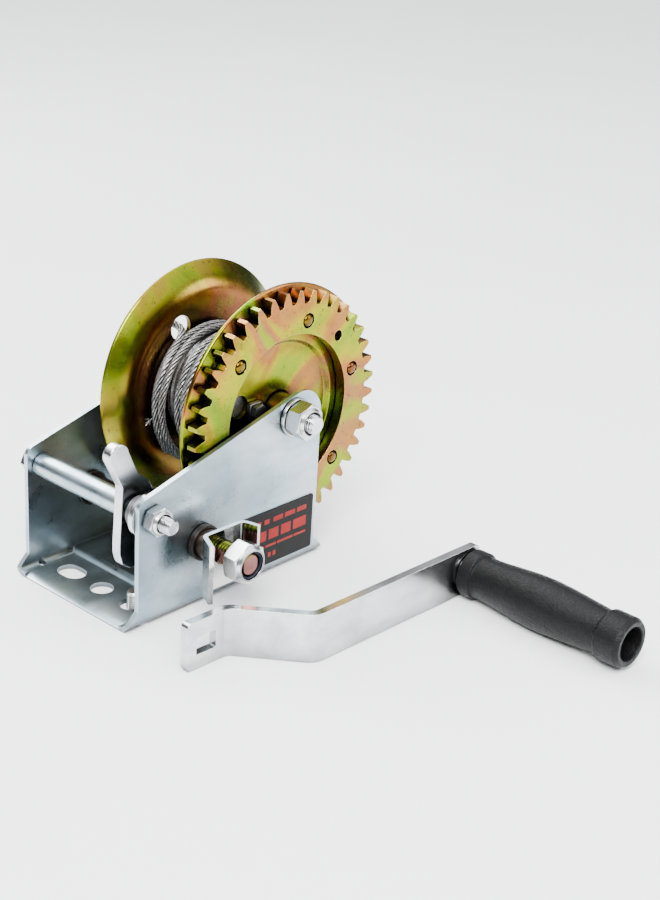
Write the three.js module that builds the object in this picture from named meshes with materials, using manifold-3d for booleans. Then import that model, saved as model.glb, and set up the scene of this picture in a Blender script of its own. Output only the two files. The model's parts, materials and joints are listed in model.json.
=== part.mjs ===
// Hand winch for a boat trailer, in millimetres with +Z up.
//
// A folded sheet-steel channel carries a cable drum on a bolt axle and a crank shaft whose small pinion
// drives the drum's ring gear. A double-nosed pawl on the front spacer rod locks a ratchet wheel on the
// crank shaft in either direction. The crank with its turning grip is off the shaft and lies beside the
// winch. X runs from the front edge of the base towards the drum, -Y is the crank side.
// The origin of the finished group is on the underside of the base, straight below the drum's axis.

import * as THREE from "three";
import { mergeVertices } from "three/addons/utils/BufferGeometryUtils.js";
import Module from "manifold-3d";

const wasm = await Module();
wasm.setup();

// ---- Driving dimensions --------------------------------------------------------------------------

const gap = 0.3;             // clearance between neighbouring pieces
const through = 60;          // half length of a cutter that passes both side plates
const thin = 1;              // how far a cutter or a joined piece runs past a surface

const base = {
  length: 136, halfWidth: 43, sheet: 2.5, bend: 6,
  footHeight: 3.5, frontEdge: 6.25, frontCorner: 5.5,
  topSlope: 15.54,                                  // degrees, the plate's top edge rises to the rear
  apex: { x: 115, z: 82.6, r: 14.2 },
  blankHeight: 100,
};
const innerFace = base.halfWidth - base.sheet;      // inner face of a side plate
const inside = innerFace - gap;                     // where a piece beside the plate's inner face ends
const outside = base.halfWidth + gap;               // where a piece on the plate's outer face starts

const floor = {
  stepStart: 31.5, stepRun: 5, raise: 2.5,          // the pressed-up middle of the floor
  bevelRun: 4.5, bevelEdge: 0.9, flatHalf: 36,
  holeRow: 18.7, holeRadius: 6,
  slot: { y: 21.7, length: 16.5 }, middle: -1.7, outer: -24,
  relief: { x: 13.1, y: 38.5, r: 2 },
  rearRelief: { x: 130.6, z: 13.4, r: 1.6 },
};

const drum = {
  x: 109.1, z: 84.6,
  module: 3, teeth: 41, toothPhase: 4.63,           // degrees from +Z towards +X
  gearFront: -39.4, gearThickness: 6, gearBore: 42,
  rimRadius: 66.5, leftRim: 64.2, leftFlat: 53.5, leftFace: 20.5, leftLip: 31,
  webFront: -33.1, dishRadius: 37.5, dishFront: -30.7,
  hubRadius: 9.7, hubHalf: 38.5, coreRadius: 20,
  rivetCircle: 48.8, rivets: 6, rivetPhase: 13.4, rivetRadius: 3.6, rivetHead: 5,
  pinHole: { r: 2.8, angle: 44.7 },
  cutFront: -40, cutBack: -20,                      // cutters for the holes of the right flange
};

const drumAxle = {
  radius: 5, end: -59.3, head: 7, flats: 17, sleeve: 8, washer: 10, washerFace: -45.3,
};

const winding = { right: -27.9, left: 18.5, outer: 37.2, rope: 2 };
const anchorHole = { radius: 39.3, angle: -29.9, r: 6.5 };
const clampOpening = { x: -27, z: 8, r: 6 };
const cableClamp = { x: -17.5, z: 4.5, length: 9, height: 9, thickness: 2.6, screw: 2.5 };

const shaft = {
  x: 46.9, z: 35.1,
  pinionTeeth: 12, radius: 7.5, left: 47, shoulder: -56.5, end: -77,
  thread: 6, flats: 9,
  bushHole: 8.7, bushFlange: 9.3, bushRight: -46.5, bushLeft: 38.4,
  pinionBack: -33.5, collar: 10,
  ring: { radius: 11, from: 43.8, to: 45.3 },       // retaining ring outside the left plate
};

const ratchet = {
  teeth: 7, tip: 20, root: 13.5, front: -28.9, back: -24.5,
  gapAngle: -42.5,                                  // a gap faces the pawl's upper nose, the next one the lower
  tipHalf: 6, rootHalf: 11,                         // half widths of a tooth in degrees
};

const bracket = {
  left: 33.4, right: 61, bottom: 17, top: 47.5, web: -57.9, sheet: 2.2, bend: 3.5,
  leftEnd: -69, leftSplay: 27, rightEnd: -67, rightSplay: 13,
};

const rod = {
  x: 15.2, z: 57.15, radius: 6, bore: 4.3, bolt: 4, head: 5.3, flats: 13, end: -57,
  washer: 11, washerBack: -37.3,
};

const pawl = { front: -30, back: -24.5, bore: 6.3 };
const spring = { radius: 7.6, wire: 0.6, turns: 3.5, from: -36, to: -31.6 };

const nutCollar = { depth: 1.6, edge: 1, seat: 2.6, ringFrom: 0.6, ringTo: 2.3 };
const label = { left: 72, right: 126.5, bottom: 6.5, top: 37, thickness: 0.3 };
const stud = { x: 20, y: -24.9, radius: 4, top: 9.8 };

const crank = {
  width: 25, thickness: 4.5, length: 169.4, offset: 32.2, jogStart: 26, jogEnd: 53, bend: 8,
  corner: 3.5, slotX: 11.8, slotZ: 12, slotWidth: 12, slotHeight: 9,
  x: -2.8, y: -87.06, yaw: -2.07,
};

const grip = {
  x: 161, z: 12.5, start: -34.5, length: 98.4, belly: 13.7, bellyAt: 47,
  spindle: 5, hollow: 8.7, hollowDepth: 14,
};

// ---- Finishes ------------------------------------------------------------------------------------

const finishes = {
  zinc_blue: [0xb9c7d4, 0.35, 0.9],
  zinc_white: [0xd9dde0, 0.28, 0.95],
  zinc_yellow: [0xc9a24a, 0.35, 0.9],
  rope_steel: [0xb4b6b8, 0.4, 0.9],
  dark_steel: [0x5a4a40, 0.45, 0.8],
  bush: [0x3a2a20, 0.6, 0.2],
  spring_steel: [0x4a4c50, 0.4, 0.9],
  nylon: [0x4a7fc0, 0.5, 0],
  label: [0x1b1b1d, 0.5, 0],
  grip_plastic: [0x1a1a1b, 0.6, 0],
};

function finish(name) {
  const [color, roughness, metalness] = finishes[name];
  return new THREE.MeshStandardMaterial({ color, roughness, metalness });
}

// ---- Outlines ------------------------------------------------------------------------------------

const radians = THREE.MathUtils.degToRad;

/** Points on an arc; angles in degrees, anticlockwise from the first axis. */
function arc(x, y, radius, from, to, steps) {
  const points = [];
  for (let i = 0; i <= steps; i += 1) {
    const angle = radians(from + ((to - from) * i) / steps);
    points.push([x + radius * Math.cos(angle), y + radius * Math.sin(angle)]);
  }
  return points;
}

function circle(x, y, radius, steps = 20) {
  return arc(x, y, radius, 0, 360, steps).slice(0, -1);
}

function rectangle(x0, y0, x1, y1) {
  return [[x0, y0], [x1, y0], [x1, y1], [x0, y1]];
}

/** Rectangle with rounded corners. */
function roundedRectangle(x0, y0, x1, y1, r, steps = 4) {
  return [
    ...arc(x0 + r, y0 + r, r, 180, 270, steps),
    ...arc(x1 - r, y0 + r, r, 270, 360, steps),
    ...arc(x1 - r, y1 - r, r, 0, 90, steps),
    ...arc(x0 + r, y1 - r, r, 90, 180, steps),
  ];
}

/** Regular hexagon of a nut or bolt head, by its width across the flats. */
function hexagon(x, y, acrossFlats, turn = 0) {
  const corner = acrossFlats / Math.sqrt(3);
  return arc(x, y, corner, turn, turn + 360, 6).slice(0, -1);
}

/** Round bar with two flats that face each way along the first axis. */
function doubleD(x, y, radius, flats, steps = 5) {
  const corner = THREE.MathUtils.radToDeg(Math.acos(flats / 2 / radius));
  return [
    ...arc(x, y, radius, corner, 180 - corner, steps),
    ...arc(x, y, radius, 180 + corner, 360 - corner, steps),
  ];
}

/** Point at an angle in degrees from +Z towards +X, as used around the drum and the shaft. */
function clock(radius, angle, x = 0, z = 0) {
  return [x + radius * Math.sin(radians(angle)), z + radius * Math.cos(radians(angle))];
}

/** Outline of a sheet strip that follows a polyline with rounded bends. */
function strip(path, bend, thickness, steps = 5) {
  const sides = [[], []];
  const half = thickness / 2;
  path.forEach(([x, y], i) => {
    const before = path[Math.max(i - 1, 0)];
    const after = path[Math.min(i + 1, path.length - 1)];
    const into = i > 0 ? Math.atan2(y - before[1], x - before[0]) : null;
    const out = i < path.length - 1 ? Math.atan2(after[1] - y, after[0] - x) : null;
    if (into === null || out === null) {
      const heading = into ?? out;
      [half, -half].forEach((offset, side) => {
        sides[side].push([x - offset * Math.sin(heading), y + offset * Math.cos(heading)]);
      });
      return;
    }
    const turn = out - into;
    const hand = Math.sign(turn);
    const middle = into + turn / 2;
    const reach = bend / Math.cos(turn / 2);
    const cx = x - hand * reach * Math.sin(middle);
    const cy = y + hand * reach * Math.cos(middle);
    for (let step = 0; step <= steps; step += 1) {
      const heading = into + (turn * step) / steps;
      [half, -half].forEach((offset, side) => {
        const radius = hand * bend - offset;
        sides[side].push([cx + radius * Math.sin(heading), cy - radius * Math.cos(heading)]);
      });
    }
  });
  return [...sides[1], ...sides[0].reverse()];
}

/** Involute spur gear, with a tooth centred on the phase angle (degrees from +Z towards +X). */
function gearOutline(teeth, module, phase, x = 0, z = 0) {
  const pressure = radians(20);
  const backlash = 0.35;
  const undercut = 0.72;       // how much of the tooth is left at its root when the root is below the base
  const pitch = (teeth * module) / 2;
  const baseRadius = pitch * Math.cos(pressure);
  const root = pitch - 1.25 * module;
  const tip = pitch + module;
  const involute = (angle) => Math.tan(angle) - angle;
  const halfTooth = (radius) => {
    const local = Math.acos(Math.min(1, baseRadius / radius));
    return Math.PI / 2 / teeth - backlash / 2 / pitch + involute(pressure) - involute(local);
  };
  const start = Math.max(baseRadius, root);
  const flank = [[root, halfTooth(start) * (root < baseRadius - 1 ? undercut : 1)]];
  for (const part of [0.05, 0.55, 1]) {
    const radius = start + (tip - start) * part;
    flank.push([radius, halfTooth(radius)]);
  }
  const points = [];
  for (let tooth = 0; tooth < teeth; tooth += 1) {
    const centre = radians(phase) + (2 * Math.PI * tooth) / teeth;
    const side = (sign) => flank.map(([radius, half]) => [
      x + radius * Math.sin(centre + sign * half),
      z + radius * Math.cos(centre + sign * half),
    ]);
    points.push(...side(-1), ...side(1).reverse());
  }
  return points;
}

// ---- Solids --------------------------------------------------------------------------------------

function shapeOf(outline, holes = []) {
  const shape = new THREE.Shape(outline.map(([x, y]) => new THREE.Vector2(x, y)));
  for (const hole of holes) {
    shape.holes.push(new THREE.Path(hole.map(([x, y]) => new THREE.Vector2(x, y))));
  }
  return shape;
}

function extrude(outline, holes, depth) {
  return new THREE.ExtrudeGeometry(shapeOf(outline, holes), { depth, bevelEnabled: false });
}

/** Plate with its outline in X and Z, between two values of Y. */
function plateY(outline, holes, y0, y1) {
  return extrude(outline, holes, y1 - y0).rotateX(Math.PI / 2).translate(0, y1, 0);
}

/** Plate with its outline in X and Y, between two values of Z. */
function plateZ(outline, holes, z0, z1) {
  return extrude(outline, holes, z1 - z0).translate(0, 0, z0);
}

/** Bar with its outline in Y and Z, between two values of X. */
function barX(outline, x0, x1) {
  const turn = new THREE.Matrix4().makeBasis(
    new THREE.Vector3(0, 1, 0), new THREE.Vector3(0, 0, 1), new THREE.Vector3(1, 0, 0),
  );
  return extrude(outline, [], x1 - x0).applyMatrix4(turn).translate(x0, 0, 0);
}

/** Turned piece about an axis along Y; the profile lists [radius, y] with y rising on the outside. */
function turned(profile, x = 0, z = 0, steps = 24) {
  const points = profile.map(([radius, y]) => new THREE.Vector2(radius, y));
  return new THREE.LatheGeometry(points, steps).translate(x, 0, z);
}

/** Tube about an axis along Y. */
function tube(inner, outer, y0, y1, x = 0, z = 0, steps = 24) {
  return turned([[inner, y0], [outer, y0], [outer, y1], [inner, y1], [inner, y0]], x, z, steps);
}

/** Solid round bar about an axis along Y. */
function bar(radius, y0, y1, x = 0, z = 0, steps = 20) {
  return turned([[0, y0], [radius, y0], [radius, y1], [0, y1]], x, z, steps);
}

/** Upright round bar. */
function post(radius, z0, z1, x, y, steps = 24) {
  return plateZ(circle(x, y, radius, steps), [], z0, z1);
}

/** Round wire along a curve. */
function wire(curve, radius, steps, sides = 8) {
  const section = shapeOf(circle(0, 0, radius, sides));
  return new THREE.ExtrudeGeometry(section, { extrudePath: curve, steps, bevelEnabled: false });
}

function solid(geometry) {
  const bare = geometry.clone();
  bare.deleteAttribute("normal");
  bare.deleteAttribute("uv");
  const merged = mergeVertices(bare, 1e-4);
  return new wasm.Manifold(new wasm.Mesh({
    numProp: 3,
    vertProperties: merged.attributes.position.array,
    triVerts: new Uint32Array(merged.index.array),
  }));
}

function geometryOf(body) {
  const mesh = body.getMesh();
  const geometry = new THREE.BufferGeometry();
  geometry.setAttribute("position", new THREE.BufferAttribute(mesh.vertProperties, 3));
  geometry.setIndex(new THREE.BufferAttribute(mesh.triVerts, 1));
  return geometry;
}

/** A geometry with others joined to it and others cut from it. */
function carve(start, cuts = [], joins = []) {
  let body = solid(start);
  for (const join of joins) body = body.add(solid(join));
  for (const cut of cuts) body = body.subtract(solid(cut));
  return geometryOf(body);
}

function meet(first, second) {
  return geometryOf(solid(first).intersect(solid(second)));
}

function piece(group, name, geometry, finishName) {
  const mesh = new THREE.Mesh(geometry, finish(finishName));
  mesh.name = name;
  group.add(mesh);
}

// ---- Frame ---------------------------------------------------------------------------------------

/** Outline of a side plate in X and Z, with its feet flaring to the ends of the base. */
function sidePlate() {
  const { length, frontEdge, frontCorner, footHeight, apex, topSlope } = base;
  const slope = radians(topSlope);
  const rearEdge = apex.x + apex.r;
  const tangent = [apex.x - apex.r * Math.sin(slope), apex.z + apex.r * Math.cos(slope)];
  const cornerX = frontEdge + frontCorner;
  const cornerZ = tangent[1] - (tangent[0] - cornerX) * Math.tan(slope) - frontCorner / Math.cos(slope);
  return [
    [0, -thin], [length, -thin], [length, footHeight], [rearEdge, footHeight + length - rearEdge],
    ...arc(apex.x, apex.z, apex.r, 0, 90 + topSlope, 12),
    ...arc(cornerX, cornerZ, frontCorner, 90 + topSlope, 180, 6),
    [frontEdge, footHeight + frontEdge], [0, footHeight],
  ];
}

/** Section of the folded channel in Y and Z. */
function channelSection() {
  const { halfWidth, bend, sheet, blankHeight } = base;
  const centre = halfWidth - bend;
  const inner = bend - sheet;
  return [
    [-halfWidth, blankHeight], ...arc(-centre, bend, bend, 180, 270, 4),
    ...arc(centre, bend, bend, 270, 360, 4), [halfWidth, blankHeight],
    [halfWidth - sheet, blankHeight], ...arc(centre, bend, inner, 360, 270, 4),
    ...arc(-centre, bend, inner, 270, 180, 4), [sheet - halfWidth, blankHeight],
  ];
}

/** Pressed-up middle of the floor: a trapezoid in X and Z, moved in by an amount at its slopes. */
function floorStep(bottom, top, inset) {
  const { stepStart, stepRun } = floor;
  const end = base.length - stepStart;
  return [
    [stepStart + inset, bottom], [end - inset, bottom],
    [end - stepRun - inset, top], [stepStart + stepRun + inset, top],
  ];
}

/** The row of fixing holes across one end of the floor. */
function fixingHoles(x) {
  const half = floor.slot.length / 2 - floor.holeRadius;
  const slot = [
    ...arc(x, floor.slot.y + half, floor.holeRadius, 0, 180, 8),
    ...arc(x, floor.slot.y - half, floor.holeRadius, 180, 360, 8),
  ];
  const round = (y) => plateZ(circle(x, y, floor.holeRadius), [], -thin, base.bend);
  return [plateZ(slot, [], -thin, base.bend), round(floor.middle), round(floor.outer)];
}

function frameChannel() {
  const wide = innerFace + base.sheet / 4;
  const pressed = plateY(floorStep(base.sheet - gap, base.sheet + floor.raise, 0), [], -wide, wide);
  const pocket = plateY(
    floorStep(0, floor.raise, 1).map(([x, z]) => [x, z > 0 ? z : -thin]), [], -floor.flatHalf, floor.flatHalf,
  );
  const bevel = plateY(
    [[-thin, floor.bevelEdge], [0, floor.bevelEdge], [floor.bevelRun, base.sheet],
      [floor.bevelRun, base.bend], [-thin, base.bend]],
    [], -floor.flatHalf, floor.flatHalf,
  );
  const { relief, rearRelief } = floor;
  const folded = barX(channelSection(), -thin, base.length + thin);
  const blank = meet(folded, plateY(sidePlate(), [], -through, through));
  return carve(blank, [
    pocket, bevel,
    ...fixingHoles(floor.holeRow), ...fixingHoles(base.length - floor.holeRow),
    post(relief.r, -thin, base.bend, relief.x, relief.y, 10),
    post(relief.r, -thin, base.bend, relief.x, -relief.y, 10),
    bar(rearRelief.r, -through, through, rearRelief.x, rearRelief.z, 8),
    bar(drumAxle.radius + gap, -through, through, drum.x, drum.z),
    bar(shaft.bushHole, -through, through, shaft.x, shaft.z, 24),
    bar(rod.bolt + gap, -through, through, rod.x, rod.z),
  ], [pressed]);
}

/** Hexagon nut with a round collar that holds a nylon ring; the collar is on the -Y side. */
function lockNut({ x, z, inner, outer, flats, bore, collar, ring, turn }) {
  const { depth, edge, seat } = nutCollar;
  const hex = plateY(hexagon(x, z, flats, turn), [], outer + depth, inner);
  const neck = turned([
    [0, outer], [collar - edge, outer], [collar, outer + edge], [collar, inner - edge], [0, inner - edge],
  ], x, z);
  return carve(hex, [
    bar(bore, outer - thin, inner + thin, x, z),
    bar(ring + gap, outer - thin, outer + seat, x, z),
  ], [neck]);
}

const axleNut = {
  x: drum.x, z: drum.z, inner: drumAxle.washerFace - gap, outer: -56, flats: 17, bore: drumAxle.radius + gap,
  collar: 7.7, ring: 6.1, turn: 19,
};
const crankNut = {
  x: shaft.x, z: shaft.z, inner: -67.8, outer: -78.3, flats: 19, bore: shaft.thread + gap,
  collar: 9.4, ring: 7.2, turn: 33,
};
const rodNut = {
  x: rod.x, z: rod.z, inner: -outside, outer: -50.8, flats: 13, bore: rod.bolt + gap,
  collar: 5.8, ring: 5, turn: 10,
};

/** The nylon ring seated in the mouth of a lock nut. */
function nylonRing({ x, z, outer, bore, ring }) {
  return tube(bore, ring, outer + nutCollar.ringFrom, outer + nutCollar.ringTo, x, z, 24);
}

/** Bolt with its hexagon head on the +Y side. */
function bolt({ x, z, radius, head, flats, end }) {
  const shank = bar(radius, end, outside + thin, x, z);
  return carve(shank, [], [plateY(hexagon(x, z, flats), [], outside, outside + head)]);
}

/** Bush with its flange on one side of a plate: the flange's face, its seat on the plate, the body's end. */
function flangedBush(face, seat, end) {
  const bore = shaft.radius + gap;
  const body = shaft.bushHole - gap;
  const flange = shaft.bushFlange;
  return turned([
    [bore, face], [flange, face], [flange, seat], [body, seat], [body, end], [bore, end], [bore, face],
  ], shaft.x, shaft.z);
}

function buildFrame(winch) {
  piece(winch, "frame", frameChannel(), "zinc_blue");

  const spacerEnd = rod.washerBack + gap;
  piece(winch, "front_spacer_tube", tube(rod.bore, rod.radius, spacerEnd, inside, rod.x, rod.z), "zinc_blue");
  piece(winch, "front_spacer_bolt", bolt({ ...rod, radius: rod.bolt }), "zinc_white");
  piece(winch, "front_spacer_nut", lockNut(rodNut), "zinc_white");
  piece(winch, "front_spacer_nut_ring", nylonRing(rodNut), "nylon");
  const sideWasher = tube(rod.bore, rod.washer, -inside, rod.washerBack, rod.x, rod.z);
  piece(winch, "pawl_side_washer", sideWasher, "zinc_white");

  const { radius, sleeve, washer, washerFace } = drumAxle;
  const axleBore = radius + gap;
  piece(winch, "drum_axle_bolt", bolt({ ...drumAxle, x: drum.x, z: drum.z }), "zinc_white");
  piece(winch, "drum_axle_sleeve", tube(axleBore, sleeve, -inside, inside, drum.x, drum.z), "dark_steel");
  const axleWasher = tube(axleBore, washer, washerFace, -outside, drum.x, drum.z);
  piece(winch, "drum_axle_washer", axleWasher, "zinc_white");
  piece(winch, "drum_axle_nut", lockNut(axleNut), "zinc_white");
  piece(winch, "drum_axle_nut_ring", nylonRing(axleNut), "nylon");

  piece(winch, "shaft_bush_right", flangedBush(shaft.bushRight, -outside, -inside), "bush");
  piece(winch, "shaft_bush_left", flangedBush(shaft.bushLeft, inside, outside), "bush");

  const sticker = rectangle(label.left, label.bottom, label.right, label.top);
  piece(winch, "rating_label", plateY(sticker, [], -outside - label.thickness, -outside), "label");
  piece(winch, "mounting_stud", post(stud.radius, gap, stud.top, stud.x, stud.y), "zinc_white");
}

/** Coil of the spring that holds the pawl over, round the spacer tube beside the pawl. */
class CoilCurve extends THREE.Curve {
  getPoint(t, target = new THREE.Vector3()) {
    const angle = t * spring.turns * 2 * Math.PI;
    return target.set(
      rod.x + spring.radius * Math.sin(angle),
      THREE.MathUtils.lerp(spring.from, spring.to, t),
      rod.z + spring.radius * Math.cos(angle),
    );
  }
}

function buildPawl(winch) {
  piece(winch, "pawl_spring", wire(new CoilCurve(), spring.wire, 32, 5), "spring_steel");
  const outline = [
    ...arc(5.6, 87, 6, 195, 8, 8),                                      // rounded top of the finger
    [13.7, 83.3], [17.4, 75.6], [24.2, 69.9], [26.5, 65], [33, 61.5],   // rear edge down to the upper nose
    ...arc(36.2, 56.4, 2.4, 55, -95, 4),
    [29.5, 52.5], [23, 47.2], [19.8, 41], [18.2, 34.6],                 // hollow round the ratchet wheel
    ...arc(21.4, 30, 2.2, 80, -100, 4),
    [13, 26.6], [7.4, 30.4], [5.7, 36], [5.7, 41.6], [6.6, 57.1], [7.3, 70.8],  // lower nose and front edge
  ];
  const hole = circle(rod.x, rod.z, pawl.bore);
  piece(winch, "pawl", plateY(outline, [hole], pawl.front, pawl.back), "zinc_white");
}

// ---- Crank shaft ---------------------------------------------------------------------------------

/** Tooth phase of the pinion that puts one of its gaps on the ring gear's tooth nearest the mesh point. */
function pinionPhase() {
  const towards = THREE.MathUtils.radToDeg(Math.atan2(shaft.x - drum.x, shaft.z - drum.z));
  const gearPitch = 360 / drum.teeth;
  const teethAway = (towards - drum.toothPhase) / gearPitch;
  const ahead = Math.round(teethAway) - teethAway;              // in pitches, towards +angle on the drum
  const pinionPitch = 360 / shaft.pinionTeeth;
  return towards + 180 - ahead * pinionPitch + pinionPitch / 2;
}

function ratchetOutline() {
  const points = [];
  const { teeth, tip, root, gapAngle, tipHalf, rootHalf } = ratchet;
  for (let tooth = 0; tooth < teeth; tooth += 1) {
    const centre = gapAngle + (tooth + 0.5) * (360 / teeth);
    const corners = [[root, -rootHalf], [tip, -tipHalf], [tip, tipHalf], [root, rootHalf]];
    points.push(...corners.map(([radius, turn]) => clock(radius, centre + turn, shaft.x, shaft.z)));
  }
  return points;
}

/** Folded sheet that takes the crank's arm between its two splayed legs. */
function crankBracket() {
  const { left, right, web, sheet, bend, leftEnd, leftSplay, rightEnd, rightSplay, bottom, top } = bracket;
  const half = sheet / 2;
  const leftLean = (web - leftEnd) * Math.tan(radians(leftSplay));
  const rightLean = (web - rightEnd) * Math.tan(radians(rightSplay));
  const path = [
    [left + half - leftLean, leftEnd], [left + half, web],
    [right - half, web], [right - half + rightLean, rightEnd],
  ];
  const eye = doubleD(shaft.x, shaft.z, shaft.thread + gap, shaft.flats + 2 * gap);
  return carve(plateZ(strip(path, bend, sheet), [], bottom, top), [plateY(eye, [], leftEnd, shaft.shoulder)]);
}

function buildShaft(winch) {
  const { x, z, radius, thread, flats, shoulder, end, left, pinionBack, collar, ring } = shaft;
  const inner = radius + gap;
  const bore = circle(x, z, inner, 24);
  const journal = bar(radius, shoulder, left, x, z, 24);
  const tail = plateY(doubleD(x, z, thread, flats), [], end, shoulder + thin);
  piece(winch, "crank_shaft", carve(journal, [], [tail]), "dark_steel");
  const pinion = gearOutline(shaft.pinionTeeth, drum.module, pinionPhase(), x, z);
  piece(winch, "drive_pinion", plateY(pinion, [bore], -inside, pinionBack), "dark_steel");
  const spacer = tube(inner, collar, pinionBack + gap, ratchet.front - gap, x, z);
  piece(winch, "pinion_collar", spacer, "dark_steel");
  piece(winch, "ratchet_wheel", plateY(ratchetOutline(), [bore], ratchet.front, ratchet.back), "dark_steel");
  piece(winch, "shaft_retaining_ring", tube(inner, ring.radius, ring.from, ring.to, x, z), "spring_steel");
  piece(winch, "crank_bracket", crankBracket(), "zinc_white");
  piece(winch, "crank_nut", lockNut(crankNut), "zinc_white");
  piece(winch, "crank_nut_ring", nylonRing(crankNut), "nylon");
}

// ---- Drum ----------------------------------------------------------------------------------------

/** Stepped and flared right flange, cut for the rivets, the anchor opening and the small pin hole. */
function rightFlange() {
  const { webFront, dishFront, dishRadius, hubRadius, rimRadius } = drum;
  const bore = hubRadius + gap;
  const sheet = base.sheet;
  const profile = [
    [bore, dishFront], [dishRadius - 2, dishFront], [dishRadius, webFront], [60, webFront],
    [rimRadius, -32], [rimRadius, -29.6], [60, webFront + sheet],
    [dishRadius + 1, webFront + sheet], [dishRadius - 1, dishFront + sheet],
    [bore, dishFront + sheet], [bore, dishFront],
  ];
  const hole = (radius, x, z) => bar(radius, drum.cutFront, drum.cutBack, x, z, 14);
  return carve(turned(profile, 0, 0, 52), [
    ...rivetPlaces().map(([x, z]) => hole(drum.rivetRadius + gap, x, z)),
    hole(clampOpening.r, clampOpening.x, clampOpening.z),
    hole(drum.pinHole.r, ...clock(drum.rivetCircle, drum.pinHole.angle)),
    hole(cableClamp.screw + gap, cableClamp.x, cableClamp.z),
  ]);
}

function leftFlange() {
  const { leftFace, leftFlat, leftRim, leftLip, hubRadius } = drum;
  const bore = hubRadius + gap;
  const sheet = base.sheet;
  const fold = sheet * Math.tan(radians(22.5));
  const profile = [
    [bore, leftFace], [leftFlat, leftFace], [leftRim, leftLip - 1.2], [leftRim + 0.2, leftLip],
    [leftRim - 1.6, leftLip + 0.8], [leftFlat - fold, leftFace + sheet],
    [bore, leftFace + sheet], [bore, leftFace],
  ];
  const eye = bar(anchorHole.r, leftFace - 5, leftFace + 5, ...clock(anchorHole.radius, anchorHole.angle));
  return carve(turned(profile, 0, 0, 52), [eye]);
}

function rivetPlaces() {
  const places = [];
  for (let i = 0; i < drum.rivets; i += 1) {
    places.push(clock(drum.rivetCircle, drum.rivetPhase + (360 / drum.rivets) * i));
  }
  return places;
}

/** Ring gear that is riveted to the front of the right flange. */
function ringGear() {
  const holes = rivetPlaces().map(([x, z]) => circle(x, z, drum.rivetRadius + gap, 12));
  holes.push(circle(...clock(drum.rivetCircle, drum.pinHole.angle), drum.pinHole.r, 12));
  holes.push(circle(0, 0, drum.gearBore, 40));
  const outline = gearOutline(drum.teeth, drum.module, drum.toothPhase);
  return plateY(outline, holes, drum.gearFront, drum.gearFront + drum.gearThickness);
}

/** Free end of the rope: up the front of the winding, then out through the left flange's hole. */
function ropeTail() {
  const radius = winding.outer + winding.rope + 0.8;
  const points = [];
  const addPoint = (reach, angle, y) => {
    const [x, z] = clock(reach, angle);
    points.push(new THREE.Vector3(x, y, z));
  };
  for (const angle of [-95, -80, -65, -50, -38]) addPoint(radius, angle, 15.6);
  addPoint(radius, anchorHole.angle - 2, 18.4);
  addPoint(radius, anchorHole.angle, 22);
  addPoint(radius + 1, anchorHole.angle, 26.5);
  addPoint(radius + 4, anchorHole.angle, 31);
  return wire(new THREE.CatmullRomCurve3(points), winding.rope, 18, 8);
}

function buildDrum(winch) {
  const group = new THREE.Group();
  group.position.set(drum.x, 0, drum.z);
  winch.add(group);
  const bore = drumAxle.sleeve + gap;
  piece(group, "drum_hub", tube(bore, drum.hubRadius, -drum.hubHalf, drum.hubHalf), "zinc_yellow");
  const { coreRadius, dishFront, leftFace } = drum;
  piece(group, "drum_core", tube(
    coreRadius - base.sheet, coreRadius, dishFront + base.sheet + gap, leftFace - gap, 0, 0, 32,
  ), "zinc_yellow");
  piece(group, "left_flange", leftFlange(), "zinc_yellow");
  piece(group, "right_flange", rightFlange(), "zinc_yellow");
  piece(group, "ring_gear", ringGear(), "zinc_yellow");
  rivetPlaces().forEach(([x, z], i) => {
    const { rivetRadius, rivetHead } = drum;
    piece(group, `gear_rivet_${i + 1}`, turned([
      [0, -39.8], [rivetRadius, -39.6], [rivetRadius, -30.3],
      [rivetHead, -30.3], [rivetHead - 1, -29.1], [0, -29.1],
    ], x, z, 12), "zinc_yellow");
  });
  piece(group, "wire_rope_winding", tube(
    drum.coreRadius + gap, winding.outer, winding.right, winding.left, 0, 0, 40,
  ), "rope_steel");
  piece(group, "wire_rope_tail", ropeTail(), "rope_steel");

  const { x, z, length, height, thickness, screw } = cableClamp;
  const face = drum.dishFront - gap;
  piece(group, "cable_clamp", plateY(
    roundedRectangle(x - length / 2, z - height / 2, x + length / 2, z + height / 2, 1.5),
    [circle(x, z, screw + gap, 16)], face - thickness, face,
  ), "spring_steel");
  const nutFace = face - thickness - gap;
  piece(group, "cable_clamp_screw", carve(
    bar(screw, nutFace - 1, drum.dishFront + base.sheet - gap, x, z, 16), [],
    [plateY(hexagon(x, z, 7.5, 15), [], nutFace - 3, nutFace)],
  ), "spring_steel");
}

// ---- Crank ---------------------------------------------------------------------------------------

function crankArm() {
  const { width, thickness, length, offset, jogStart, jogEnd, bend, corner } = crank;
  const middle = thickness / 2;
  const path = [[0, middle], [jogStart, middle], [jogEnd, middle - offset], [length, middle - offset]];
  const plan = plateZ(strip(path, bend, thickness, 6), [], 0, width);
  const elevation = plateY(roundedRectangle(0, 0, length, width, corner), [], -through, through);
  const slot = plateY(rectangle(
    crank.slotX - crank.slotWidth / 2, crank.slotZ - crank.slotHeight / 2,
    crank.slotX + crank.slotWidth / 2, crank.slotZ + crank.slotHeight / 2,
  ), [], -thin, thickness + thin);
  const spindleHole = bar(grip.spindle + gap, -through, 0, grip.x, grip.z);
  return carve(meet(plan, elevation), [slot, spindleHole]);
}

/** Outer profile of the grip as [distance from its arm end, radius]. */
const gripProfile = [
  [0, 12], [0.7, 12.5], [7.4, 12.5], [7.8, 11.2], [12, 11.1], [30, 12.7],
  [grip.bellyAt, grip.belly], [64, 12.8], [80, 11.4], [83.5, 11.4], [85, 12.9],
  [96, 12.9], [grip.length, 11.4],
];

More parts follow.
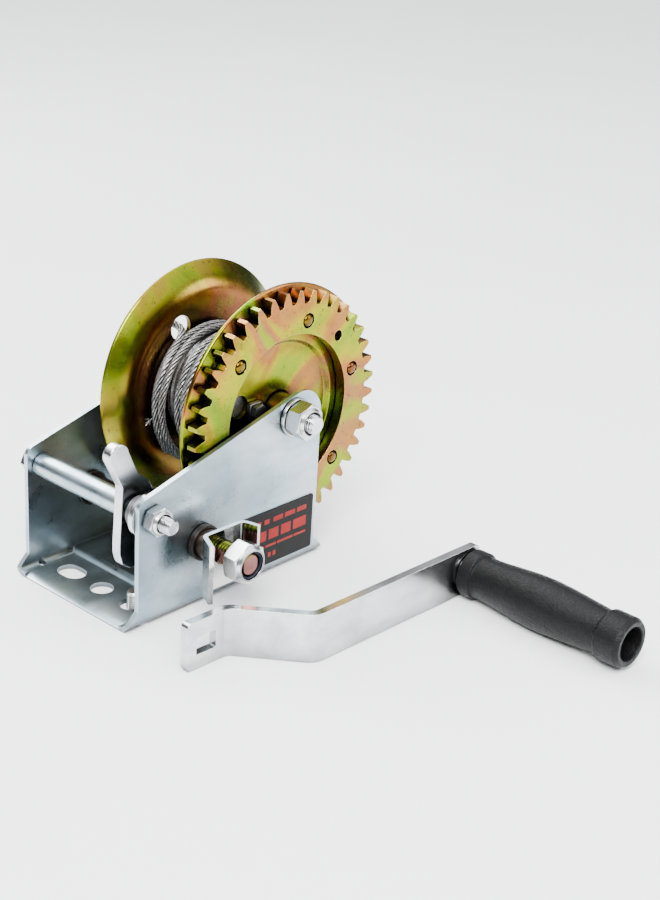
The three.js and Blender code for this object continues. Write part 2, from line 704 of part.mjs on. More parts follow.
function buildCrank(winch) {
  // The arm lies on its edge and the grip's belly on the ground, so the whole crank leans a little.
  const lever = crank.thickness - grip.start + grip.bellyAt;
  const lean = Math.asin((grip.belly - grip.z) / lever);
  const placed = new THREE.Group();
  placed.position.set(crank.x, crank.y, 0);
  placed.rotation.z = radians(crank.yaw);
  const leaning = new THREE.Group();
  leaning.position.y = crank.thickness;
  leaning.rotation.x = -lean;
  const group = new THREE.Group();
  group.position.y = -crank.thickness;
  leaning.add(group);
  placed.add(leaning);
  winch.add(placed);

  piece(group, "crank_arm", crankArm(), "zinc_white");

  const armFront = -crank.offset;
  const armBack = crank.thickness - crank.offset;
  const end = grip.start - grip.length;
  const seat = end + grip.hollowDepth;
  piece(group, "grip_spindle", turned([
    [0, seat - 5], [grip.spindle - 0.6, seat - 5], [grip.spindle, seat - 4.4], [grip.spindle, armBack + gap],
    [8, armBack + gap], [7.2, armBack + 2.4], [0, armBack + 3],
  ], grip.x, grip.z), "zinc_white");
  piece(group, "grip_washer", tube(
    grip.spindle + gap, 9.5, grip.start + gap, armFront - gap, grip.x, grip.z,
  ), "zinc_white");
  piece(group, "grip_retaining_nut", plateY(
    hexagon(grip.x, grip.z, 13), [circle(grip.x, grip.z, grip.spindle + gap)], seat - 4.2, seat - gap,
  ), "zinc_white");

  const skin = gripProfile.map(([along, radius]) => [radius, grip.start - along]).reverse();
  const bore = grip.spindle + gap;
  piece(group, "crank_grip", turned([
    ...skin, [bore, grip.start], [bore, seat], [grip.hollow, seat], [grip.hollow, end], skin[0],
  ], grip.x, grip.z), "grip_plastic");
}

// ---- Assembly ------------------------------------------------------------------------------------

const boatTrailerWinch = new THREE.Group();
boatTrailerWinch.position.x = -drum.x;
buildFrame(boatTrailerWinch);
buildPawl(boatTrailerWinch);
buildShaft(boatTrailerWinch);
buildDrum(boatTrailerWinch);
buildCrank(boatTrailerWinch);

export default boatTrailerWinch;
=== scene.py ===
"""Looks of a boat trailer winch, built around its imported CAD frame.

Lengths are in millimetres and angles in degrees unless a name says otherwise. Shapes of the base are made in
the base's own frame, whose origin is at the front edge of its underside, and shapes of the drum about the
drum's axis. X runs from the front towards the drum, -Y is the crank side and +Z is up.
"""

import json
import math
from types import SimpleNamespace as Dims

import bmesh
import bpy
import numpy as np
from mathutils import Matrix, Vector

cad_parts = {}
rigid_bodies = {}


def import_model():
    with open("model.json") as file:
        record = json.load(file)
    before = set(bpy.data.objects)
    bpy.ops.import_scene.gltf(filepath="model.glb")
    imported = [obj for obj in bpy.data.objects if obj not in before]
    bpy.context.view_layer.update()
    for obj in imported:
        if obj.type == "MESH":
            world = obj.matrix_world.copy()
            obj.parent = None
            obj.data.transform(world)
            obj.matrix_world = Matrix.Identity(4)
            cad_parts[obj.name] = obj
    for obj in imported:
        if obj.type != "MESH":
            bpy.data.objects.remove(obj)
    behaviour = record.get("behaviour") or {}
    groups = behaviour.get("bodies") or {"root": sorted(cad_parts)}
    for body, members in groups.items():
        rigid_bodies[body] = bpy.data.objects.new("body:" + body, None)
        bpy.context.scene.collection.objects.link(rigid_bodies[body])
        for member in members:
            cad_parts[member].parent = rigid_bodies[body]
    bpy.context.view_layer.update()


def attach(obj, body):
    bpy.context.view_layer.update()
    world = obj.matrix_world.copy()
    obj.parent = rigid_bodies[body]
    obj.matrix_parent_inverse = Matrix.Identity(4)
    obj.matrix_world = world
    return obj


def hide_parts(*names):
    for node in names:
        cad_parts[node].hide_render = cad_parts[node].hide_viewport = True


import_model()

# ---- Driving dimensions ------------

MM = 0.001
GAP = 0.3
CLEAR = 1.0  # how far a cutter runs past what it cuts

BASE = Dims(
    length=136.0, half_width=43.0, sheet=2.5, bend=6.0, foot=3.5, front_edge=6.25, front_corner=5.5,
    top_slope=15.54, apex_x=115.0, apex_z=82.6, apex_r=14.2, blank=100.0,
)
INNER_FACE = BASE.half_width - BASE.sheet
OUTER_FACE = BASE.half_width + GAP

FLOOR = Dims(
    step_start=31.5, step_run=5.0, lift=2.5, bevel_run=4.5, bevel_edge=0.9, flat_half=36.0,
    hole_row=18.7, hole_radius=6.0, slot_y=21.7, slot_length=16.5, middle_y=-1.7, outer_y=-24.0,
    relief_x=13.1, relief_y=38.5, relief_r=2.0, rear_relief_x=130.6, rear_relief_z=13.4, rear_relief_r=1.6,
)

DRUM = Dims(
    x=109.1, z=84.6, module=3.0, teeth=41, tooth_phase=4.63, gear_front=-39.4, gear_back=-33.4,
    gear_bore=42.0, rim=66.5, rim_start=60.0, rim_front=-32.0, rim_back=-29.6, web_front=-33.1,
    left_rim=64.2, left_flat=53.5, left_face=20.5, left_lip=31.0, dish=37.5, dish_front=-30.7,
    hub=9.7, hub_half=38.5, core=20.0, rivet_circle=48.8, rivet_hole=3.9, rivets=6, rivet_phase=13.4,
    pin_hole_angle=44.7, pin_hole_r=2.8, cut_front=-40.0, cut_back=-20.0,
)
RIVET_PROFILE = (
    (0.0, -40.15), (1.2, -40.1), (2.2, -39.85), (2.9, -39.4), (3.3, -38.6), (3.3, -30.3), (5.0, -30.3),
    (4.4, -29.5), (3.2, -29.15), (0.0, -29.1),
)
AXLE = Dims(
    radius=5.0, pitch=1.5, end=-59.3, head=7.0, flats=17.0, sleeve=8.0, washer=10.0, washer_face=-45.3,
)
AXLE_NUT = Dims(
    inner=AXLE.washer_face - GAP, outer=-56.0, flats=17.0, collar=7.7, ring=6.1, bore=5.15, turn=19.0,
)
SHAFT = Dims(
    x=46.9, z=35.1, teeth=12, radius=7.5, left=47.0, shoulder=-56.5, end=-77.0, thread=6.0, pitch=1.75,
    flats=9.0, bush_body=8.4, bush_flange=9.3, bush_right=-46.5, bush_left=38.4, pinion_back=-33.5,
    collar=10.0, collar_front=-33.2, ring=11.0, ring_from=43.8, ring_to=45.3,
)
CRANK_NUT = Dims(inner=-67.8, outer=-78.3, flats=19.0, collar=9.4, ring=7.2, bore=6.15, turn=33.0)
ROD = Dims(x=15.2, z=57.15, radius=6.0, bore=4.3, right=-37.0, washer=11.0, washer_back=-37.3)
ROD_BOLT = Dims(radius=4.0, pitch=1.25, end=-57.0, head=5.3, flats=13.0)
ROD_NUT = Dims(inner=-OUTER_FACE, outer=-50.8, flats=13.0, collar=5.8, ring=5.0, bore=4.15, turn=10.0)
PAWL = Dims(front=-30.0, back=-24.5, bore=6.3)
SPRING = Dims(radius=7.6, wire=0.6, turns=3.5, right=-36.0, left=-31.6, steps=150)
ANCHOR = Dims(radius=39.3, angle=-29.9, r=6.5)
CLAMP = Dims(
    x=-17.5, z=4.5, size=9.0, thickness=2.6, screw=2.5, pitch=0.8, nut=3.0, nut_flats=7.5,
    opening_x=-27.0, opening_z=8.0, opening_r=6.0,
)

ROPE = Dims(
    radius=2.0, strands=6, lay=23.0, right=-25.8, left=7.4, end=16.4, layer=33.4, pitch=4.22, under=30.6,
    steps=190,
)
SAG = (-2.2, -1.8)
TURNS = (
    Dims(start=ROPE.right, end=ROPE.left, pitch=ROPE.pitch, radius=ROPE.layer, angle=200, seed=1.0,
         loose=0.18, centre=SAG),
    Dims(start=-5.0, end=4.0, pitch=9.0, radius=36.8, angle=230, seed=2.0, loose=0.3, centre=SAG),
    Dims(start=9.8, end=13.0, pitch=3.2, radius=36.3, angle=90, seed=3.0, loose=0.4, centre=(-4.0, -3.0)),
    Dims(start=13.4, end=16.8, pitch=4.8, radius=36.8, angle=160, seed=2.0, loose=0.4, centre=(-4.2, -3.4)),
)
TAIL = Dims(
    y=16.2,
    round_drum=((43.4, -133), (41.6, -112), (40.5, -95), (39.8, -80), (39.2, -65), (38.6, -50), (38.8, -38)),
    through_eye=((0.0, -2, 18.4), (0.5, 0, 22.0), (1.5, 0, 26.5), (4.0, 0, 31.0)),
)
FRAY = Dims(x=-41.6, z=-9.6, y=17.4, wires=9, length=3.6, radius=0.22, stem=4.0, spread=2.0)

RATCHET = Dims(
    teeth=7, tip=20.0, root=13.5, front=-28.9, back=-24.5, gap_angle=-42.5, tip_half=6.0, root_half=11.0,
)
BRACKET = Dims(
    left=33.4, right=61.0, bottom=17.0, top=47.5, web=-57.9, sheet=2.2, bend=3.5,
    left_end=-69.0, left_splay=27.0, right_end=-67.0, right_splay=13.0,
)
CRANK = Dims(
    width=25.0, thickness=4.5, length=169.4, offset=32.2, jog_start=26.0, jog_end=53.0, bend=8.0, corner=3.5,
    slot_x=11.8, slot_z=12.0, slot_width=12.0, slot_height=9.0, x=-2.8, y=-87.06, yaw=-2.07,
)
GRIP = Dims(
    x=161.0, z=12.5, start=-34.5, length=98.4, belly=13.7, belly_at=47.0, spindle=5.0, hollow=8.7,
    depth=14.0, washer=9.5, seam_angle=38.0, seam_height=0.16, nut=4.2, nut_flats=13.0,
)
STUD = Dims(x=20.0, y=-24.9, radius=4.0, pitch=1.25, top=9.8)
LABEL = Dims(
    x0=72.0, x1=126.5, z0=6.5, z1=37.0, corner=1.2, thickness=0.3, ease=0.06, ink=0.05,
    rows=(
        (29.8, 2.6, (
            (76.5, 80.5), (82.0, 88.0), (90.5, 94.0), (97.0, 104.0), (105.5, 113.0), (114.5, 121.5),
        )),
        (20.6, 5.6, ((76.5, 83.0), (85.0, 92.0), (94.0, 101.0), (103.0, 110.0), (112.0, 121.5))),
        (16.4, 1.3, ((76.5, 81.0), (82.0, 91.0), (92.0, 99.5), (100.5, 112.0), (113.0, 121.5))),
        (10.4, 2.6, ((94.0, 96.0), (97.5, 99.5))),
    ),
)

CAMERA = Dims(
    target=(38.151, -35.172, 53.017), distance=839.114, azimuth=-48.962, elevation=23.111, roll=3.533,
    sensor=36.0, lens=86.13,
)
SKY = Dims(heights=(0.42, 0.74), dark=(0.045, 0.047, 0.05), bright=(0.96, 0.98, 1.0), strength=3.2)
STUDIO_FLOOR = 6000.0
STUDIO_MIDDLE = (0.0, -0.05, 0.05)
LIGHTS = (
    ("key", (-0.9, -0.7, 1.3), (0.8, 0.8), 66.0),
    ("fill", (0.9, -1.1, 0.6), (0.6, 0.6), 12.0),
    ("back", (0.1, 1.1, 1.2), (1.2, 0.6), 30.0),
)

IN_BASE = Matrix.Translation((-DRUM.x, 0.0, 0.0))
IN_DRUM = Matrix.Translation((0.0, 0.0, DRUM.z))


def crank_place():
    """Where the crank lies: its arm stands on its edge and its grip's belly rests on the ground."""
    lever = CRANK.thickness - GRIP.start + GRIP.belly_at
    lean = math.asin((GRIP.belly - GRIP.z) / lever)
    placed = Matrix.Translation((CRANK.x - DRUM.x, CRANK.y, 0.0))
    placed = placed @ Matrix.Rotation(math.radians(CRANK.yaw), 4, "Z")
    about_edge = Matrix.Translation((0.0, CRANK.thickness, 0.0))
    return placed @ about_edge @ Matrix.Rotation(-lean, 4, "X") @ about_edge.inverted()


# ---- Outlines ------------


def arc(x, y, radius, start, end, steps):
    """Points on an arc, anticlockwise from the first axis."""
    angles = np.radians(np.linspace(start, end, steps + 1))
    return [(x + radius * math.cos(a), y + radius * math.sin(a)) for a in angles]


def circle(x, y, radius, steps=48):
    return arc(x, y, radius, 0, 360, steps)[:-1]


def rectangle(x0, y0, x1, y1):
    return [(x0, y0), (x1, y0), (x1, y1), (x0, y1)]


def hexagon(x, y, flats, turn=0.0):
    return arc(x, y, flats / math.sqrt(3), turn, turn + 360, 6)[:-1]


def clock(radius, angle, x=0.0, z=0.0):
    """Point at an angle from +Z towards +X."""
    return x + radius * math.sin(math.radians(angle)), z + radius * math.cos(math.radians(angle))


def rounded(points, radius, steps=4):
    """A closed outline with each corner rounded, as far as its sides have room."""
    result = []
    for i, corner in enumerate(points):
        here = Vector(corner)
        before = Vector(points[i - 1]) - here
        after = Vector(points[(i + 1) % len(points)]) - here
        half = before.angle(after, math.pi) / 2
        if half > math.radians(86) or half < math.radians(2):
            result.append(corner)
            continue
        reach = min(radius / math.tan(half), 0.48 * before.length, 0.48 * after.length)
        start = here + before.normalized() * reach
        end = here + after.normalized() * reach
        for k in range(steps + 1):
            t = k / steps
            point = start * (1 - t) ** 2 + here * 2 * t * (1 - t) + end * t**2
            result.append((point.x, point.y))
    return result


def strip(path, bend, thickness, steps=10):
    """Outline of a sheet strip that follows a polyline with rounded bends."""
    sides = [[], []]
    half = thickness / 2
    for i, (x, y) in enumerate(path):
        into = math.atan2(y - path[i - 1][1], x - path[i - 1][0]) if i > 0 else None
        out = math.atan2(path[i + 1][1] - y, path[i + 1][0] - x) if i < len(path) - 1 else None
        if into is None or out is None:
            heading = out if into is None else into
            for side, offset in enumerate((half, -half)):
                sides[side].append((x - offset * math.sin(heading), y + offset * math.cos(heading)))
            continue
        turn = out - into
        hand = math.copysign(1.0, turn)
        reach = bend / math.cos(turn / 2)
        centre_x = x - hand * reach * math.sin(into + turn / 2)
        centre_y = y + hand * reach * math.cos(into + turn / 2)
        for k in range(steps + 1):
            heading = into + turn * k / steps
            for side, offset in enumerate((half, -half)):
                radius = hand * bend - offset
                edge_x = centre_x + radius * math.sin(heading)
                edge_y = centre_y - radius * math.cos(heading)
                sides[side].append((edge_x, edge_y))
    return sides[1] + sides[0][::-1]


def gear_outline(teeth, phase, x=0.0, z=0.0, flank_steps=5):
    """Involute spur gear of the drum's module, with a tooth centred on the phase angle."""
    pressure = math.radians(20)
    backlash = 0.35
    pitch = teeth * DRUM.module / 2
    base_radius = pitch * math.cos(pressure)
    root = pitch - 1.25 * DRUM.module
    tip = pitch + DRUM.module

    def half_tooth(radius):
        local = math.acos(min(1.0, base_radius / radius))
        lead = math.tan(pressure) - pressure - (math.tan(local) - local)
        return math.pi / 2 / teeth - backlash / 2 / pitch + lead

    start = max(base_radius, root)
    undercut = 0.72 if root < base_radius - 1 else 1.0
    flank = [(root, half_tooth(start) * undercut * 1.12), (root + 0.5, half_tooth(start) * undercut)]
    for k in range(flank_steps + 1):
        radius = start + (tip - start) * (0.08 + 0.92 * k / flank_steps)
        flank.append((radius, half_tooth(radius)))
    points = []
    for tooth in range(teeth):
        centre = math.radians(phase) + 2 * math.pi * tooth / teeth
        for sign, side in ((-1, flank), (1, flank[::-1])):
            for radius, half in side:
                angle = centre + sign * half
                points.append((x + radius * math.sin(angle), z + radius * math.cos(angle)))
    return points


# ---- Meshes ------------


def tidy(mesh, flat=None):
    """Welds doubles, points faces outwards and, with an angle, merges faces that lie flatter than it."""
    work = bmesh.new()
    work.from_mesh(mesh)
    bmesh.ops.remove_doubles(work, verts=work.verts, dist=1e-4)
    if flat is not None:
        bmesh.ops.dissolve_limit(work, angle_limit=math.radians(flat), verts=work.verts, edges=work.edges)
    bmesh.ops.recalc_face_normals(work, faces=work.faces)
    work.to_mesh(mesh)
    work.free()
    return mesh


def mesh_of(vertices, faces):
    mesh = bpy.data.meshes.new("work")
    mesh.from_pydata([tuple(v) for v in vertices], [], faces)
    return tidy(mesh)


def tube_faces(rows, count):
    """Faces of a skin over rows of points, closed round each row and capped at both ends."""
    faces = []
    for row in range(rows - 1):
        for i in range(count):
            j = (i + 1) % count
            faces.append([row * count + i, row * count + j, (row + 1) * count + j, (row + 1) * count + i])
    faces.append(list(range(count)))
    faces.append(list(range((rows - 1) * count, rows * count)))
    return faces


def prism(outline, low, high, axis):
    """Solid with its outline across an axis, "X" for (y, z), "Y" for (x, z) or "Z" for (x, y)."""
    place = {
        "X": lambda a, b, c: (c, a, b),
        "Y": lambda a, b, c: (a, c, b),
        "Z": lambda a, b, c: (a, b, c),
    }[axis]
    vertices = [place(a, b, level) for level in (low, high) for a, b in outline]
    return mesh_of(vertices, tube_faces(2, len(outline)))


def turned(profile, x=0.0, z=0.0, steps=96, soften=0.0, swell=None):
    """Solid of a closed (radius, y) profile about an axis along Y. swell(angle, y) is added to the radius."""
    outline = rounded(profile, soften, 3) if soften else profile
    vertices, faces = [], []
    for i in range(steps):
        angle = 2 * math.pi * i / steps
        for radius, y in outline:
            reach = radius + (swell(angle, y) if swell and radius > 0 else 0.0)
            vertices.append((x + reach * math.sin(angle), y, z + reach * math.cos(angle)))
    count = len(outline)
    for i in range(steps):
        j = (i + 1) % steps
        for k in range(count):
            m = (k + 1) % count
            if outline[k][0] > 0 or outline[m][0] > 0:
                faces.append([i * count + k, i * count + m, j * count + m, j * count + k])
    return mesh_of(vertices, faces)


def ring(inner, outer, y0, y1, x=0.0, z=0.0, soften=0.3, steps=96):
    return turned([(inner, y0), (outer, y0), (outer, y1), (inner, y1)], x, z, steps, soften)


def rod_mesh(radius, y0, y1, x=0.0, z=0.0, soften=0.3, steps=64):
    """Solid round bar; only its outer corners are softened."""
    edge = rounded([(0.0, y0), (radius, y0), (radius, y1), (0.0, y1)], soften, 3)
    profile = [(0.0, y0)] + [p for p in edge if p[0] > radius * 0.5] + [(0.0, y1)]
    return turned(profile, x, z, steps)


def plate(outline, holes, y0, y1, bevel=0.3, across="Y"):
    """Plate between two values of an axis, with its edges and its holes' edges eased."""
    curve = bpy.data.curves.new("work", "CURVE")
    curve.dimensions = "2D"
    curve.fill_mode = "BOTH"
    curve.extrude = (y1 - y0) / 2 - bevel
    curve.bevel_depth = bevel
    curve.bevel_resolution = 2
    curve.offset = -bevel
    for loop in (outline, *holes):
        spline = curve.splines.new("POLY")
        spline.points.add(len(loop) - 1)
        for point, (a, b) in zip(spline.points, loop):
            point.co = (a, b, 0.0, 1.0)
        spline.use_cyclic_u = True
    holder = bpy.data.objects.new("work", curve)
    bpy.context.scene.collection.objects.link(holder)
    shown = holder.evaluated_get(bpy.context.evaluated_depsgraph_get())
    mesh = bpy.data.meshes.new_from_object(shown)
    bpy.data.objects.remove(holder)
    turn = Matrix.Rotation(math.radians(90), 4, "X") if across == "Y" else Matrix.Identity(4)
    shift = (0.0, (y0 + y1) / 2, 0.0) if across == "Y" else (0.0, 0.0, (y0 + y1) / 2)
    mesh.transform(Matrix.Translation(shift) @ turn)
    return tidy(mesh)


def combined(mesh, others, operation, flat=0.5):
    """The mesh after a boolean operation with each of the others in turn."""
    scene = bpy.context.scene.collection.objects
    holder = bpy.data.objects.new("work", mesh)
    scene.link(holder)
    tools = []
    for other in others:
        tool = bpy.data.objects.new("tool", other)
        scene.link(tool)
        tools.append(tool)
        modifier = holder.modifiers.new("cut", "BOOLEAN")
        modifier.operation = operation
        modifier.solver = "MANIFOLD"
        modifier.object = tool
    shown = holder.evaluated_get(bpy.context.evaluated_depsgraph_get())
    result = bpy.data.meshes.new_from_object(shown)
    for item in (holder, *tools):
        bpy.data.objects.remove(item)
    return tidy(result, flat)


def joined(*meshes):
    """One mesh that holds several shells, each with its own material numbers."""
    work = bmesh.new()
    for mesh in meshes:
        work.from_mesh(mesh)
    result = bpy.data.meshes.new("work")
    work.to_mesh(result)
    work.free()
    return result


def numbered(mesh, index):
    """The mesh with all its faces set to one material number."""
    for face in mesh.polygons:
        face.material_index = index
    return mesh


def threaded(radius, pitch, low, high, x=0.0, z=0.0, flats=None, steps=48):
    """Threaded bar along Y with a chamfer at its low end, and two flats facing +X and -X if asked for."""
    depth = 0.58 * pitch
    crest = 1.35  # how much steeper than a plain V the thread is, which leaves a flat on its crest
    rows = max(8, round((high - low) / pitch * 8))
    vertices = []
    for row in range(rows + 1):
        y = low + (high - low) * row / rows
        inset = max(0.0, depth * 1.1 - (y - low))
        for i in range(steps):
            angle = 2 * math.pi * i / steps
            turn = (y / pitch + i / steps) % 1.0
            groove = depth * max(0.0, 1.0 - abs(2 * turn - 1.0) * crest)
            reach = radius - max(groove, inset)
            if flats:
                reach = min(reach, flats / 2 / max(abs(math.sin(angle)), 1e-6))
            vertices.append((x + reach * math.sin(angle), y, z + reach * math.cos(angle)))
    return mesh_of(vertices, tube_faces(rows + 1, steps))


def swept(points, rim, twist=0.0):
    """Skin along a path. rim is the section's radius all round it; twist turns it, in radians per mm."""
    points = np.asarray(points, float)
    tangents = np.gradient(points, axis=0)
    tangents /= np.linalg.norm(tangents, axis=1)[:, None]
    along = np.concatenate([[0.0], np.cumsum(np.linalg.norm(np.diff(points, axis=0), axis=1))])
    around = 2 * np.pi * np.arange(len(rim)) / len(rim)
    right = np.cross(tangents[0], (0.0, 1.0, 0.3))
    rows = []
    for point, tangent, reach in zip(points, tangents, along):
        right = right - tangent * (right @ tangent)
        right = right / np.linalg.norm(right)
        up = np.cross(tangent, right)
        angles = around + twist * reach
        rows.append(point + rim[:, None] * (np.cos(angles)[:, None] * right + np.sin(angles)[:, None] * up))
    return mesh_of(np.concatenate(rows), tube_faces(len(points), len(rim)))


def rope_mesh(points, per_strand=6):
    """Laid rope along a path: one skin whose lobes are its strands, twisted by one turn for each lay."""
    share = 2 * np.pi / ROPE.strands
    off = (np.arange(ROPE.strands * per_strand) % per_strand) / per_strand * share
    off = np.minimum(off, share - off)
    strand = ROPE.radius / 3
    middle = ROPE.radius - strand
    lobe = middle * np.cos(off) + np.sqrt(np.maximum(strand**2 - (middle * np.sin(off)) ** 2, 0.0))
    return swept(points, lobe, 2 * np.pi / ROPE.lay)


def wire_mesh(points, radius, sides=12):
    return swept(points, np.full(sides, radius))


def smooth_path(points, step=1.2):
    """Points at an even step along a smooth curve through the given ones."""
    points = np.asarray(points, float)
    reach = np.concatenate([[0.0], np.cumsum(np.linalg.norm(np.diff(points, axis=0), axis=1))])
    slopes = np.gradient(points, reach, axis=0)
    result = []
    for at in np.arange(0.0, reach[-1], step):
        i = min(np.searchsorted(reach, at, side="right") - 1, len(points) - 2)
        span = reach[i + 1] - reach[i]
        t = (at - reach[i]) / span
        start, end = points[i], points[i + 1]
        lean_in, lean_out = slopes[i] * span, slopes[i + 1] * span
        result.append(
            (2 * t**3 - 3 * t**2 + 1) * start + (t**3 - 2 * t**2 + t) * lean_in
            + (3 * t**2 - 2 * t**3) * end + (t**3 - t**2) * lean_out
        )
    result.append(points[-1])
    return np.array(result)


# ---- Materials ------------


class Paint:
    """One node material around a Principled surface, patterned by each piece's own coordinates."""

    def __init__(self, name):
        self.material = bpy.data.materials.new(name)
        self.material.use_nodes = True
        self.tree = self.material.node_tree
        self.surface = self.tree.nodes["Principled BSDF"]
        self.place = self.node("ShaderNodeTexCoord").outputs["Object"]

    def node(self, kind, settings=None, **inputs):
        made = self.tree.nodes.new(kind)
        for key, value in (settings or {}).items():
            setattr(made, key, value)
        for key, value in inputs.items():
            self.feed(made.inputs[key.replace("_", " ")], value)
        return made

    def feed(self, socket, value):
        if isinstance(value, bpy.types.NodeSocket):
            self.tree.links.new(value, socket)
        else:
            socket.default_value = value

    def set(self, **inputs):
        for key, value in inputs.items():
            self.feed(self.surface.inputs[key.replace("_", " ")], value)

    def noise(self, scale, detail=4.0, stretch=None, distortion=0.0, roughness=0.55):
        place = self.place
        if stretch:
            place = self.node("ShaderNodeMapping", Vector=place, Scale=stretch).outputs[0]
        made = self.node(
            "ShaderNodeTexNoise", Vector=place, Scale=scale, Detail=detail, Roughness=roughness,
            Distortion=distortion,
        )
        return made.outputs[0]

    def cells(self, scale):
        return self.node("ShaderNodeTexVoronoi", Vector=self.place, Scale=scale).outputs["Distance"]

    def ramp(self, value, *stops):
        made = self.node("ShaderNodeValToRGB", Fac=value)
        elements = made.color_ramp.elements
        while len(elements) < len(stops):
            elements.new(0.5)
        for element, (at, colour) in zip(elements, stops):
            element.position = at
            element.color = (*colour, 1.0)
        return made.outputs[0]

    def remap(self, value, from_low, from_high, to_low, to_high):
        return self.node(
            "ShaderNodeMapRange", Value=value,
            From_Min=from_low, From_Max=from_high, To_Min=to_low, To_Max=to_high,
        ).outputs[0]

    def mixed(self, factor, first, second):
        made = self.node("ShaderNodeMix", {"data_type": "RGBA"})
        self.feed(made.inputs[0], factor)
        for socket, colour in ((made.inputs[6], first), (made.inputs[7], second)):
            self.feed(socket, (*colour, 1.0) if isinstance(colour, tuple) else colour)
        return made.outputs[2]

    def added(self, first, second, operation="ADD"):
        made = self.node("ShaderNodeMath", {"operation": operation})
        self.feed(made.inputs[0], first)
        self.feed(made.inputs[1], second)
        return made.outputs[0]

    def vector(self, operation, first, second=None):
        made = self.node("ShaderNodeVectorMath", {"operation": operation})
        self.feed(made.inputs[0], first)
        if second is not None:
            self.feed(made.inputs[1], second)
        return made.outputs["Value" if operation in ("LENGTH", "DOT_PRODUCT") else "Vector"]

    def edges(self, width):
        """Bright where the surface turns over an edge within a width."""
        soft = self.node("ShaderNodeBevel", {"samples": 4}, Radius=width * MM).outputs[0]
        true = self.node("ShaderNodeNewGeometry").outputs["Normal"]
        return self.remap(self.vector("DOT_PRODUCT", soft, true), 0.985, 0.86, 0.0, 1.0)

    def painted_recess_shade(self, colour, reach, depth):
        """The colour, darkened towards black by painted shade in recesses narrower than a reach."""
        open_to_light = self.node("ShaderNodeAmbientOcclusion", {"samples": 4}, Distance=reach * MM).outputs["AO"]
        return self.mixed(self.remap(open_to_light, 0.25, 0.85, depth, 0.0), colour, (0.004, 0.0035, 0.003))

    def bump(self, height, strength, distance=0.0002, under=None):
        made = self.node("ShaderNodeBump", Height=height, Strength=strength, Distance=distance)
        if under is not None:
            self.feed(made.inputs["Normal"], under)
        return made.outputs[0]


def plated(name, tones, rough, streak=(1.0, 1.0, 1.0), grain=0.05, wear=(0.9, 0.91, 0.92), scale=24.0):
    """Zinc-plated steel: cloudy tones, fine streaks, smudges that change the gloss, bright worn edges and
    painted shade in its recesses.
    """
    paint = Paint(name)
    clouds = paint.noise(scale, 6.0, distortion=0.7)
    stops = [(0.32 + 0.36 * i / max(len(tones) - 1, 1), tone) for i, tone in enumerate(tones)]
    colour = paint.ramp(clouds, *stops)
    lines = paint.noise(160.0, 5.0, stretch=streak)
    colour = paint.mixed(paint.remap(lines, 0.42, 0.68, 0.0, 0.35), colour, tuple(t * 0.72 for t in tones[0]))
    specks = paint.noise(900.0, 2.0)
    colour = paint.mixed(paint.remap(specks, 0.67, 0.74, 0.0, 0.5), colour, (0.12, 0.11, 0.1))
    worn = paint.added(paint.edges(0.7), paint.remap(paint.noise(220.0), 0.35, 0.6, 0.25, 1.0), "MULTIPLY")
    colour = paint.mixed(paint.added(worn, 0.7, "MULTIPLY"), colour, wear)
    # Painted shade: the colour darkens towards black in recesses within 22 mm.
    colour = paint.painted_recess_shade(colour, 22.0, 0.85)
    smudge = paint.noise(45.0, 5.0, distortion=0.4)
    paint.set(
        Base_Color=colour, Metallic=1.0,
        Roughness=paint.remap(smudge, 0.3, 0.7, rough[0], rough[1]),
        Normal=paint.bump(paint.noise(1100.0, 3.0), grain, under=paint.bump(lines, grain)),
    )
    return paint.material


